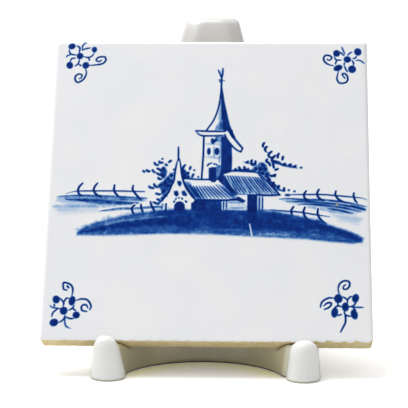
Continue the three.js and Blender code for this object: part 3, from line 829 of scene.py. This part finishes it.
def paint_tower(page):
    line(page, (-22, 216, -23, 170, -23.5, 127, -26, 75, -28, 30), 0.72, 1.0, ends=(1.0, 0.9), soft=0.2,
        dry=0.1)
    wash(page, (50, 215, 64, 216, 72, 196, 92, 170, 94, 120, 93, 62, 90, 59, 61, 49, 58, 2, 33, 29, 44, 41,
        49, 65), 0.97, uneven=0.24)
    wash(page, (24, 216, 54, 216, 54, 188, 26, 192), 0.7, soft=0.6, uneven=0.75)
    spots(page, [(-1, 149, 15, 30, 0), (32, 149, 19, 32, 0)])
    spots(page, [(14, 194, 15, 27, 10)], 0.99)
    spots(page, [(24, 197, 11, 19, -25)])
    wash(page, (-17, 185, 49, 188, 49, 175, -14, 179), 0.22, soft=0.6, uneven=0.6)
    wash(page, (-18, 130, 49, 126, 49, 113, -8, 121), 0.24, soft=0.6, uneven=0.6)
    lines(page, [(46, 184, 45, 122), (41, 128, 43, 98), (20, 170, 21, 125)], 0.8, 0.33)
    line(page, (-6, 86, -1, 92, 5, 95), 0.68, 1.0, ends=(0.8, 0.8))
    dabs(page, [(10, 97.5), (21, 94, 25, 93), (31, 91)], 0.72, 1.0)
    wash(page, (0, 75, 15, 80, 31, 79, 31, 24, 19, 14, 1, 24), 0.96, uneven=0.22)
    wash(page, (31, 90, 49, 90, 49, 26, 31, 26), 0.66, soft=0.5, uneven=0.4)


def paint_cottage(page):
    line(page, (-125, 168, -124.5, 144, -124, 110), 0.7, 0.95, ends=(0.7, 1.0))
    line(page, (-124, 114, -130, 97, -136, 61, -140, 22, -149, 0, -161, -31, -178, -56, -189, -70), 0.75,
        1.0, dry=0.1)
    line(page, (-123, 120, -118, 108, -112.5, 74, -108, 44, -100, 13, -89, -12, -75, -34, -61, -53,
        -42, -70), 0.72, 1.0, dry=0.1)
    wash(page, (-125, 19, -112, 18, -108, 6, -115, -6, -123, 2, -126, 13), 0.99, soft=0.45)
    wash(page, (-139, -25, -125, -24, -118, -39, -127, -50, -137, -41), 0.99, soft=0.45)
    wash(page, (-109, -28, -97, -21, -85, -39, -88, -47, -103, -44), 0.99, soft=0.45)
    dabs(page, [(-131, -59.5, -129, -58), (-118, -54), (-106, -56, -104, -59), (-138, -72, -135, -69),
        (-91, -68, -87, -72)], 0.8, 1.0, soft=0.25)
    wash(page, (-137, -109, -136, -84, -126, -72, -113, -69, -101, -74, -94, -86, -93, -109), 0.97,
        uneven=0.2)
    line(page, (-169, -80, -170, -107), 0.75, 1.0, ends=(0.8, 1.0))
    wash(page, (-68, -76, -60, -73, -54, -64, -50, -64, -50, -108, -68, -108), 0.96, soft=0.4)


def paint_left_barn(page):
    line(page, (-104, 32, -70, 27.5, -30, 26, 6, 25, 16, 18, 26, 18, 34, 30), 0.7, 0.88, ends=(0.8, 0.6))
    wash(page, (-98, 19, -76, 16, -64, -3, -46, -6, -6, -60, -44, -62, -66, -46, -84, -20), 0.42, soft=0.5,
        uneven=0.6, streak=(0.6, 2.2))
    lines(page, [(-95, 12, -80, -17, -50, -59), (-85, 10, -68, -19, -40, -58), (-74, 3, -56, -27, -30, -58)],
        0.6, 0.95, dry=0.25)
    wash(page, (-60, -4, 46, 2, 62, 2, 116, -58, -26, -60), 0.07, soft=0.6, uneven=0.9)
    for top, foot in ((-61, -31), (-49, -18), (-38, -3), (-27, 12), (-16, 27), (-5, 42), (6, 58), (18, 73)):
        line(page, (top, -3.5, 0.56 * top + 0.44 * foot, -27, foot, -55), 0.54, 0.97)
    lines(page, [(30, 4, 56, -26, 89, -56), (43, 3, 70, -26, 105, -57), (56, -2, 82, -30, 114, -54)], 0.56,
        0.85)
    line(page, (-46, -62.5, 20, -63, 80, -63, 124, -58), 0.85, 0.95, ends=(0.8, 1.0))
    wash(page, (90, -56, 122, -54, 136, -69, 96, -66), 0.55, soft=0.5)
    wash(page, (116, -47, 126, -50, 151, -66, 140, -75, 116, -65), 0.95)
    wash(page, (-56, -65, 54, -65, 54, -108, -57, -108), 0.96, uneven=0.3)
    lines(page, [(62, -68, 62, -102), (73, -66, 74, -100)], 0.65, 0.85)
    wash(page, (76, -69, 154, -72, 156, -99, 78, -99), 0.16, soft=0.8, uneven=0.8, streak=(0.7, 2.0))
    lines(page, [(78, -72, 134, -75), (88, -96, 146, -97)], 0.5, 0.45)


def paint_right_barn(page):
    line(page, (53, 61.5, 120, 62.5, 196, 57), 0.6, 0.85)
    wash(page, (52, 41, 66, 44, 130, 40, 204, 35, 222, 34, 282, -36, 200, -35, 112, -35), 0.34, soft=0.4,
        uneven=0.8, streak=(0.5, 3.0))
    for number in range(15):
        top, foot = 63 + 11.2 * number, 108 + 12.4 * number
        middle = (top + foot) / 2 - 2.5
        line(page, (top, 43.5 - number / 2, middle, 4, foot, -34), 0.6, 0.98, soft=0.2, dry=0.4)
    for top, foot in ((83, 106), (129, 160), (152, 192), (174, 216), (219, 263)):
        lift(page, (top, 35, (top + foot) / 2 - 2.5, 6, foot, -24), 0.36, keep=0.12)
    for foot in (134, 158, 183, 220, 246):
        lift(page, (foot - 3, -29, foot, -34), 0.35, keep=0.3)
    line(page, (204, 47, 226, 29, 252, 3, 286, -39), 0.7, 0.95, ends=(0.9, 1.0))
    line(page, (198, -39, 240, -41.5, 287, -39.5), 0.85, 0.95, ends=(0.9, 0.8))
    wash(page, (42, 26, 54, 37, 64, 29, 106, -29, 120, -41, 110, -46, 90, -34, 60, 4), 0.5, uneven=0.5)
    lines(page, [(45, 34, 62, 5, 104, -42), (53, 39, 74, 2, 110, -39), (60, 39, 84, 0, 114, -35)], 0.62,
        0.98, soft=0.2, dry=0.15)
    line(page, (110, -38, 130, -37.5, 158, -38), 0.5, 0.6)
    wash(page, (157, -37, 197, -37, 196, -114, 158, -114), 0.96, uneven=0.1)
    wash(page, (158, -90, 196, -90, 194, -150, 170, -162, 159, -140), 0.6, soft=1.6, uneven=0.5)
    lines(page, [(205.5, -42, 205, -109), (218, -42, 218, -109)], 0.56, 0.97, soft=0.2)
    wash(page, (198, -40, 220, -40, 220, -109, 198, -109), 0.1, soft=0.4)
    wash(page, (200, -98, 245, -104, 270, -110, 200, -114), 0.5, soft=0.8)


def paint_left_tree(page):
    touches = [(-221, 98, -215, 90, -206, 88), (-201, 104, -199, 98, -188, 99), (-162, 101, -154, 108),
        (-176, 91, -170, 87), (-266, 62, -260, 58), (-252, 66, -246, 61, -240, 60), (-228, 66, -223, 59,
        -218, 56), (-208, 73, -200, 68, -193, 66), (-209, 52, -202, 47, -194, 44), (-204, 32, -199, 27,
        -192, 26), (-240, -5, -235, -10, -222, -13), (-220, 5, -216, -3, -206, -9), (-211, -36, -204, -38,
        -195, -40), (-205, -60, -198, -64), (-219, -74, -210, -78, -200, -81), (-97, 88, -103, 79, -104, 70),
        (-74, 80, -77, 70), (-62, 48, -66, 38)]
    dabs(page, touches, 1.0, 0.96)
    dots = [(-189, 115), (-142, 69), (-59, 66), (-42, 37)]
    dabs(page, dots, 0.95, 0.88)
    lines(page, [(-186, -82, -179, -83), (-189, -94, -184, -102)], 0.5, 0.8)
    crown = (-193, 72, -186, 81, -175, 77, -170, 59, -173, 40, -183, 30, -193, 39, -196, 58)
    wash(page, crown, 0.9, soft=0.6, uneven=0.4, ragged=0.25)
    bush = (-156, 53, -142, 54, -143, 32, -149, 2, -162, -28, -179, -60, -194, -84, -202, -76, -190, -56,
        -185, -46, -194, -34, -190, -20, -202, -11, -206, 1, -193, 9, -178, 24, -165, 38)
    wash(page, bush, 0.82, soft=0.6, uneven=0.7, ragged=0.4)
    clumps = [(-151, 43, 14, 15), (-163, 28, 15, 13), (-152, 18, 10, 15), (-176, 12, 19, 14),
        (-194, 0, 19, 12), (-164, -3, 13, 14), (-180, -26, 19, 12), (-172, -44, 10, 15), (-183, -56, 12, 12),
        (-184, 73, 13, 10), (-185, 42, 14, 16), (-190, 66, 9, 8), (-103, 59, 12, 20), (-98, 42, 16, 15),
        (-85, 53, 13, 12), (-84, 36, 16, 11), (-100, 32, 12, 14)]
    spots(page, [(*clump, 1.7 * clump[0]) for clump in clumps], 0.9, 0.45)
    wash(page, (-109, 70, -97, 69, -90, 58, -79, 57, -77, 39, -62, 30, -104, 28), 0.75, soft=0.5, uneven=0.5,
        ragged=0.3)


def paint_right_tree(page):
    touches = [(224, 187, 219, 179, 219, 171), (234, 170, 227, 162, 229, 152), (254, 149, 244, 140, 242, 131,
        247, 124), (283, 140, 279, 132, 279, 123), (300, 127, 298, 114), (268, 131, 261, 124, 253, 122),
        (259, 122, 255, 113), (236, 115, 233, 106, 243, 99, 248, 88), (259, 96, 262, 87, 263, 79), (279, 73,
        269, 69), (174, 111, 172, 100, 176, 90), (189, 106, 188, 95), (159, 105, 153, 100), (122, 80,
        127, 72), (143, 81, 148, 71), (269, 48, 256, 42, 248, 45), (304, -10, 305, -22)]
    dabs(page, touches, 1.0, 1.0, soft=0.25, dry=0.15)
    spots(page, [(306, 93, 17, 12, 60), (329, 90, 17, 12, 50), (349, 85, 15, 10, 40), (265, 43, 15, 11, 150),
        (244, 28, 13, 17, 20), (261, 11, 15, 12, 60), (267, 1, 13, 12, 0), (282, -3, 14, 13, 40)], 0.99)
    dots = [(373, 79), (323, -19), (346, -24), (108, 72), (159, 73), (261, 9), (281, -6), (303, 93),
        (326, 91), (346, 85), (243, 26)]
    dabs(page, dots, 1.1, 0.93)
    lines(page, [(229, 152, 233, 147, 239, 145), (140, 104, 154, 99, 172, 94)], 0.5, 0.7)
    line(page, (258, 107, 282, 102, 294, 93, 315, 87, 340, 82, 360, 77), 1.1, 0.9, ends=(1.0, 0.3), dry=0.5)
    wash(page, (249, 114, 266, 112, 283, 105, 292, 92, 274, 93, 254, 101), 0.9, soft=0.6, uneven=0.4)
    mass = (204, 100, 223, 103, 232, 92, 235, 80, 238, 68, 246, 54, 244, 43, 230, 39, 208, 43, 199, 52,
        180, 60, 173, 64, 176, 76, 184, 86, 172, 93, 182, 98, 192, 92, 200, 87)
    wash(page, mass, 0.74, soft=0.6, uneven=0.7, ragged=0.35)
    clumps = [(219, 90, 19, 14), (228, 73, 16, 16), (209, 72, 15, 15), (190, 72, 18, 14), (218, 54, 16, 11),
        (236, 50, 12, 12), (204, 59, 13, 10), (180, 92, 12, 10), (234, 39, 14, 9)]
    spots(page, [(*clump, 2.3 * clump[0]) for clump in clumps], 0.97, 0.4)
    line(page, (234, 42, 243, 26, 252, 14, 266, 0, 280, -14, 300, -23), 1.2, 0.85, ends=(1.0, 0.5), dry=0.5)
    line(page, (98, 67, 140, 67.5, 184, 63), 1.0, 0.9, dry=0.4)


MOUND_TOP = (-523, -206, -517, -195, -483, -178, -450, -163, -400, -150, -350, -137, -300, -124, -250, -118,
    -217, -113, -183, -109, -140, -106, 0, -105, 140, -107, 220, -112, 270, -115, 327, -123, 393, -138,
    453, -153, 475, -164, 510, -178, 560, -194, 600, -210, 616, -223, 612, -238)
MOUND_FOOT = (577, -244, 493, -238, 393, -228, 293, -223, 220, -218, 40, -210, -140, -207, -217, -210,
    -317, -213, -417, -217, -523, -216)


def paint_mound(page):
    wash(page, MOUND_TOP + MOUND_FOOT, 0.8, soft=0.9, uneven=0.5, streak=(6.0, 0.9), ragged=0.1)
    wash(page, MOUND_TOP + MOUND_FOOT, 0.2, soft=2.0, uneven=1.0, ragged=0.3)
    raised = np.reshape(MOUND_FOOT, (-1, 2)) + (0, 26)
    wash(page, (*MOUND_TOP[4:], *raised.flat), 0.62, soft=1.8, uneven=0.9, ragged=0.6)
    wash(page, (-220, -116, 0, -106, 270, -116, 450, -154, 460, -186, 200, -182, 0, -176, -240, -160), 0.5,
        soft=2.4, uneven=0.8, streak=(3.0, 0.8), ragged=0.8)
    wash(page, (-500, -176, -420, -144, -320, -122, -220, -106, -140, -102, -140, -120, -300, -140,
        -460, -184), 0.34, soft=1.6, uneven=0.8, ragged=0.9)
    line(page, (-505, -202, -440, -189, -360, -174, -260, -164, -120, -154), 1.8, 0.75, soft=1.2, dry=0.5)
    line(page, (440, -170, 520, -196, 580, -222, 604, -232), 2.2, 0.8, soft=1.2, dry=0.3)
    lift(page, (-470, -182, -410, -164, -350, -149, -280, -137, -220, -129), 1.4, keep=0.72, soft=1.4)
    lift(page, (-410, -171, -390, -166, -350, -156, -297, -148, -250, -142, -183, -135), 0.4, keep=0.5,
        soft=0.7)
    for start, end in ((-490, -310), (-270, -150), (-120, 30), (80, 150), (190, 310)):
        y = -206 - 0.03 * abs(start)
        lift(page, (start, y, (start + end) / 2, y + 3.5, end, y - 1), 0.5, keep=0.62, soft=0.9)
    speckle(page, MOUND_TOP + MOUND_FOOT, 0.14)
    speckle(page, (-540, -220, -500, -160, -300, -110, -160, -100, -200, -140, -440, -220), 0.2)
    speckle(page, (-480, -224, 0, -214, 460, -244, 500, -216, 0, -184, -460, -196), 0.2)
    lift(page, (167, -164, 172, -190, 177, -215), 0.55, keep=0.0)


def paint_left_fence(page):
    posts = [(-510, 7, -522, -8, -527, -25, -522, -38, -510, -49), (-450, 7, -460, -8, -463, -23, -453, -40,
        -432, -52), (-380, 0, -381, -20, -375, -35, -360, -50), (-304, -2, -306, -17, -298, -32, -285, -48,
        -270, -65)]
    lines(page, posts, **FENCE_POST)
    line(page, (-575, -38, -550, -31, -527, -27, -450, -26, -350, -26, -258, -28), 0.55, 0.97,
        ends=(0.2, 0.7), dry=0.12)
    line(page, (-610, -53, -583, -49, -517, -46, -417, -48, -317, -53, -247, -57), 0.8, 0.85,
        ends=(0.3, 0.5), dry=0.6)
    line(page, (-575, -64, -500, -66, -417, -71, -350, -76, -282, -78), 1.3, 0.88, ends=(0.3, 0.4), dry=0.55)
    line(page, (-577, -56, -480, -55, -360, -61, -263, -64), 1.4, 0.5, soft=0.8, dry=0.8)
    line(page, (-490, -76, -420, -81, -303, -84), 0.8, 0.6, soft=0.5, dry=0.7)
    line(page, (-623, -93, -517, -92, -433, -92, -373, -90), 1.1, 0.38, soft=0.9, dry=0.8)
    wash(page, (-620, -94, -560, -90, -460, -94, -440, -110, -500, -120, -600, -126), 0.2, soft=3.0,
        uneven=0.8, streak=(5.0, 0.5), ragged=0.2)
    wash(page, (-600, -50, -260, -52, -248, -66, -300, -86, -560, -84, -615, -70), 0.3, soft=1.4, uneven=0.7,
        streak=(6.0, 0.6))


def paint_right_fence(page):
    posts = [(393, -22, 384, -37, 388, -53, 403, -63), (444, -15, 437, -33, 443, -50, 463, -65), (512, -22,
        510, -38, 522, -57, 547, -70), (584, -30, 583, -43, 588, -60, 597, -73)]
    lines(page, posts, **FENCE_POST)
    dabs(page, [(312, -40, 326, -40)], 1.0, 1.0)
    line(page, (333, -38, 407, -37, 460, -37, 520, -42, 587, -48, 617, -52, 635, -59), 0.55, 0.97,
        ends=(0.6, 0.3), dry=0.12)
    water = [(285, -58, 320, -55, 393, -60, 460, -60, 527, -67, 577, -75, 633, -88), (313, -68, 393, -68,
        460, -73, 543, -82, 627, -102), (360, -83, 377, -79, 427, -80, 493, -87, 560, -97, 610, -110),
        (477, -96, 527, -105, 578, -118)]
    lines(page, water, 0.85, 0.84, ends=(0.3, 0.4), dry=0.55)
    line(page, (403, -92, 470, -104, 540, -118), 0.9, 0.4, soft=0.8, dry=0.7)
    line(page, (570, -84, 600, -92, 629, -101), 1.3, 0.8, soft=0.5, dry=0.4)
    wash(page, (290, -58, 440, -56, 630, -88, 626, -108, 560, -118, 460, -96, 330, -74), 0.34, soft=1.4,
        uneven=0.7, streak=(6.0, 0.6))
    wash(page, (490, -118, 580, -120, 616, -136, 600, -162, 520, -146), 0.24, soft=3.0, uneven=0.8,
        streak=(5.0, 0.5), ragged=0.2)


def paint_near_fences(page):
    posts = [(-295, -86, -305, -97, -303, -115, -295, -124), (-270, -84, -268, -97, -260, -120), (-232, -72,
        -228, -86, -220, -102, -213, -116), (342, -90, 333, -107, 337, -126), (388, -92, 382, -110,
        387, -130, 398, -142), (440, -97, 438, -117, 443, -133, 457, -151, 471, -159)]
    lines(page, posts, **FENCE_POST)
    line(page, (-440, -113, -397, -108, -350, -102, -297, -101, -250, -97, -183, -92), 1.1, 0.66,
        ends=(0.3, 0.8), dry=0.55)
    line(page, (247, -103, 310, -109, 367, -113, 427, -123, 488, -132), 0.6, 0.93, ends=(0.4, 0.3))


def paint_flower(page, hearts, petals, curls, faint):
    spots(page, hearts)
    lines(page, petals, 0.62, 0.99, soft=0.2, dry=0.1)
    lines(page, curls, 0.7, 1.0, ends=(0.5, 0.7), soft=0.2, dry=0.08)
    lines(page, faint, 0.62, 0.85, ends=(0.6, 0.15))


def paint_top_left(page):
    hearts = [(-547, 579, 27, 29, 0), (-583, 624, 30, 26, 20), (-488, 609, 22, 26, 0),
        (-588, 536, 27, 32, 15), (-521, 536, 28, 30, -10)]
    petals = [(-551, 594, -550, 617, -563, 627), (-563, 584, -585, 588, -593, 601, -593, 609),
        (-540, 605, -526, 613, -504, 617), (-488, 592, -499, 578, -513, 572.5, -531, 576),
        (-565, 570, -581, 567, -587, 553), (-549, 562, -553, 544, -567, 532), (-510, 571, -507, 558),
        (-549, 540, -540, 534)]
    curls = [(-522, 521, -517, 505, -520, 487, -531, 468, -551, 458, -562, 469, -562, 485, -549, 496,
        -535, 491, -538, 478, -545, 475), (-506, 536, -481, 538, -454, 543, -443, 551, -438, 562, -442, 574,
        -449, 576, -467, 574, -479, 562, -467, 553, -456, 560)]
    faint = [(-540, 610, -538, 626, -529, 638, -521, 642), (-585, 587, -601, 580, -604, 571)]
    paint_flower(page, hearts, petals, curls, faint)


def paint_top_right(page):
    hearts = [(567, 565, 30, 29, 0), (523, 593, 28, 30, 0), (611, 600, 30, 34, 10), (528, 526, 38, 26, 25),
        (586, 520, 32, 34, 0)]
    petals = [(538, 599, 554, 582), (513, 577, 522, 562.5, 543, 562.5), (568, 584, 579, 595, 587, 599),
        (606, 580, 600, 572, 590, 568), (522, 559, 517, 543), (555, 550, 553, 539),
        (586, 561, 592, 550, 592, 539), (554, 536, 561, 518, 567, 507)]
    curls = [(529, 509, 525, 491, 523, 475, 531, 459, 544, 456, 561, 461, 568, 477, 563, 493, 554, 500,
        545, 497, 556, 478), (509, 536, 488, 542, 473, 555, 469, 570, 475, 582, 488, 584, 501, 577, 500, 566,
        490, 561, 484, 566)]
    faint = [(557.5, 590, 550, 607, 544, 625), (602, 561, 618, 561, 631, 552, 640, 544)]
    paint_flower(page, hearts, petals, curls, faint)


def paint_bottom_left(page):
    hearts = [(-559, -531, 30, 32, 0), (-591, -485, 28, 32, 15), (-528, -490, 26, 38, -10),
        (-595, -579, 34, 30, 20), (-509, -548, 28, 28, 0)]
    petals = [(-577, -479, -561, -497, -562.5, -513), (-599, -504, -595, -513),
        (-560, -497, -552, -481, -541, -479), (-519, -508, -525, -520, -540, -529),
        (-584, -524, -600, -538, -605, -556), (-552, -549, -559, -567, -575, -579), (-524, -521, -511, -531),
        (-550, -556, -534, -562, -518, -563)]
    curls = [(-530, -470, -527, -449, -531, -431, -543, -420, -564, -415, -566, -431, -562.5, -443,
        -550, -446), (-552, -427.5, -543, -437), (-511, -488, -491, -482, -470, -485, -457, -499, -452, -514,
        -457, -526), (-464, -520, -470, -508, -482, -506, -490, -515, -486, -529, -468, -533)]
    faint = [(-570, -522, -589, -521, -607, -516, -616, -508),
        (-552, -558, -552, -579, -545, -595, -526, -604)]
    paint_flower(page, hearts, petals, curls, faint)


def paint_bottom_right(page):
    hearts = [(543, -507, 27, 36, 0), (516, -473, 32, 36, 0), (583, -471, 26, 35, -15),
        (501, -530, 26, 40, -10), (577, -537, 26, 40, 15)]
    petals = [(533, -465, 546, -473, 551, -480, 551, -491), (513, -489, 515, -500.5, 528, -506),
        (553, -478, 560, -467.5, 569, -463), (586, -485, 578, -497, 569, -504, 555, -506),
        (516, -503, 505, -507, 500, -516), (528, -537, 512, -542.5), (571, -507, 583, -521),
        (537, -530, 546, -541, 565, -545)]
    curls = [(520, -455, 516, -439, 518, -421, 528, -406, 546, -399, 560, -406, 560, -421, 550, -433,
        537, -433, 537, -423, 545, -416), (501, -471, 478, -471, 460, -480, 450, -491, 446, -508),
        (458, -504, 471, -492.5, 485, -490, 488, -498, 478, -510, 461, -517.5),
        (538, -525, 543, -548, 542, -569, 533, -589, 523, -608)]
    faint = [(569, -506, 592, -508, 616, -508)]
    paint_flower(page, hearts, petals, curls, faint)


# Each painted node: two corners of its page in millimetres, and what is painted on it, in order.
PAINTINGS = {
    "painted_village": ((-54.0, -26.0), (63.0, 54.0), (
        paint_mound, paint_near_fences, paint_left_tree, paint_right_tree, paint_steeple, paint_eaves,
        paint_tower, paint_cottage, paint_left_barn, paint_right_barn)),
    "painted_fence_left": ((-64.0, -14.5), (-22.5, 2.0), (paint_left_fence,)),
    "painted_fence_right": ((27.0, -17.5), (64.0, 0.0), (paint_right_fence,)),
    "painted_flower_top_left": ((-62.0, 44.0), (-42.0, 64.9), (paint_top_left,)),
    "painted_flower_top_right": ((45.0, 44.0), (64.6, 64.0), (paint_top_right,)),
    "painted_flower_bottom_left": ((-63.0, -62.0), (-43.0, -40.0), (paint_bottom_left,)),
    "painted_flower_bottom_right": ((43.0, -62.5), (63.0, -38.5), (paint_bottom_right,)),
}


def dress(piece, made, slot, body, *nodes):
    piece.data.materials.append(made)
    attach(piece, body)
    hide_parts(*nodes)


# The camera, solved from the four corners of the tile's face in the photo: metres, and degrees.
CAMERA_FILM = 36.0
CAMERA_LENS = 133.46
CAMERA_PLACE = (0.02120, -0.61390, 0.14496)
CAMERA_DOWN = 7.637
CAMERA_TURN = 2.177
# The lamp, in metres and watts, and the plain light all round.
LAMP_PLACE = (-0.33, 0.19, 0.92)
LAMP_AIM = (0.0, 0.0, 0.05)
LAMP_SIZE = 0.7
LAMP_POWER = 9.1
WORLD_LEVEL = 0.9
# Grey levels of the sky from below to straight up: what lights the objects, and what gloss on them shows.
SKY_HEIGHTS = (-0.1, 0.9)
LIT_SKY = [(0.0, 0.1), (0.3, 0.18), (0.6, 0.6), (1.0, 1.0)]
GLOSS_SKY = [(0.0, 1.0), (0.4, 0.9), (0.65, 0.03), (1.0, 0.03)]
# The floor's paper, in metres, with its grey level as seen and as it lights the objects.
FLOOR_HALF = 3.0
FLOOR_HEIGHT = -0.00005
PAPER_SEEN = 0.9
PAPER_LIT = 0.82
# How much its seen white is lifted at the stand, next to it and far off, with the distances from the round
# wall's middle over which the last two come in.
FLOOR_LIFT = 0.27
NEAR_LIFT = 0.16
NEAR_REACH = (0.036, 0.075)
FAR_LIFT = 0.3
FAR_REACH = (0.09, 0.3)
# The warm light off the clay, with some shade, painted into the floor: its distances from the same point,
# how far back it starts, and how wide it is.
WARM_REACH = (0.014, 0.0325)
WARM_FRONT = (-0.046, -0.034)
WARM_SIDES = (0.036, 0.042)
WARM_STOPS = [
    (0.0, PAPER_SEEN), (0.35, (241, 240, 234)), (0.65, (238, 235, 211)), (0.88, (231, 227, 186)),
    (0.99, (222, 218, 180)), (1.0, PAPER_SEEN),
]


def camera():
    data = bpy.data.cameras.new("camera")
    data.sensor_width = CAMERA_FILM
    data.lens = CAMERA_LENS
    data.clip_start = 0.01
    eye = bpy.data.objects.new("camera", data)
    eye.location = CAMERA_PLACE
    eye.rotation_euler = (math.radians(90 - CAMERA_DOWN), 0.0, math.radians(CAMERA_TURN))
    bpy.context.scene.collection.objects.link(eye)
    bpy.context.scene.camera = eye


def softbox():
    data = bpy.data.lights.new("softbox_above", "AREA")
    data.shape = "DISK"
    data.size = LAMP_SIZE
    data.energy = LAMP_POWER
    lamp = bpy.data.objects.new("softbox_above", data)
    lamp.location = LAMP_PLACE
    across, back, up = np.array(LAMP_AIM) - np.array(LAMP_PLACE)
    tilt = math.atan2(math.hypot(across, back), -up)
    lamp.rotation_euler = (tilt, 0.0, math.atan2(back, across) - math.pi / 2)
    bpy.context.scene.collection.objects.link(lamp)


def camera_ray(tree):
    return add(tree, "LightPath").outputs["Is Camera Ray"]


def world():
    """Rays from the camera, from gloss and through glass see one sky, and objects are lit by another."""
    made = bpy.data.worlds.new("studio")
    made.use_nodes = True
    tree = made.node_tree
    tree.nodes.clear()
    axes = add(tree, "SeparateXYZ", Vector=add(tree, "TexCoord").outputs["Generated"]).outputs
    height = map_range(tree, axes["Z"], *SKY_HEIGHTS)
    gloss = ramp(tree, height, GLOSS_SKY)
    lit = add(tree, "Background", Color=ramp(tree, height, LIT_SKY), Strength=WORLD_LEVEL)
    seen = add(tree, "Background", Color=mix_colour(tree, camera_ray(tree), gloss, 1.0), Strength=1.0)
    rays = add(tree, "LightPath").outputs
    share = maths(tree, "MAXIMUM", rays["Is Camera Ray"], rays["Is Glossy Ray"])
    share = maths(tree, "MAXIMUM", share, rays["Is Transmission Ray"])
    mix = add(tree, "MixShader")
    for socket, value in zip(mix.inputs, (share, lit.outputs[0], seen.outputs[0])):
        feed(tree, socket, value)
    add(tree, "OutputWorld", Surface=mix.outputs[0])
    bpy.context.scene.world = made


def floor():
    """White paper. What the camera sees of it is lifted to white away from the stand's shadows."""
    signs = ((-1, -1), (1, -1), (1, 1), (-1, 1))
    corners = [(x * FLOOR_HALF, y * FLOOR_HALF, FLOOR_HEIGHT) for x, y in signs]
    piece = make_object("floor", corners, [(0, 1, 2, 3)])
    made, tree, shader = material("floor_paper")
    reach = distance_from(tree, (HORSESHOE_X * MM, (HORSESHOE_Y - STAND_DEPTH / 2) * MM, 0.0))
    # Painted warm light off the clay and painted shade on the floor inside the round wall
    warm = ramp(tree, map_range(tree, reach, *WARM_REACH), WARM_STOPS)
    axes = object_axes(tree)
    behind = map_range(tree, axes["Y"], *WARM_FRONT)
    between = map_range(tree, maths(tree, "ABSOLUTE", axes["X"]), *WARM_SIDES, 1.0, 0.0)
    paper = mix_colour(tree, maths(tree, "MULTIPLY", behind, between), PAPER_SEEN, warm)
    seen = camera_ray(tree)
    colour = mix_colour(tree, seen, PAPER_LIT, paper)
    near = map_range(tree, reach, *NEAR_REACH, FLOOR_LIFT, FLOOR_LIFT + NEAR_LIFT)
    far = map_range(tree, reach, *FAR_REACH, 0.0, FAR_LIFT)
    fill(tree, shader, Base_Color=colour, Roughness=0.9, Specular_IOR_Level=0.0, Emission_Color=colour,
         Emission_Strength=maths(tree, "MULTIPLY", seen, maths(tree, "ADD", near, far)))
    piece.data.materials.append(made)


bpy.context.scene.view_settings.view_transform = "Standard"
camera()
world()
floor()
softbox()

dress(porcelain_stand(), porcelain_material(), "stand_porcelain", "stand", "stand")
dress(tile_clay(), clay_material(), "fired_clay", "tile", "tile_body")
dress(tile_glaze(), glaze_material("tin_glaze"), "tin_glaze", "tile", "tile_glaze")
paint = glaze_material("cobalt_paint")
for node, (low, high, painters) in PAINTINGS.items():
    page = sheet(low, high)
    for painter in painters:
        painter(page)
    # The village lies over the ends of the water behind it
    height = VILLAGE_TOP if node == "painted_village" else PAINT_TOP
    dress(film(node + "_film", page, height), paint, "cobalt_paint", "tile", node)
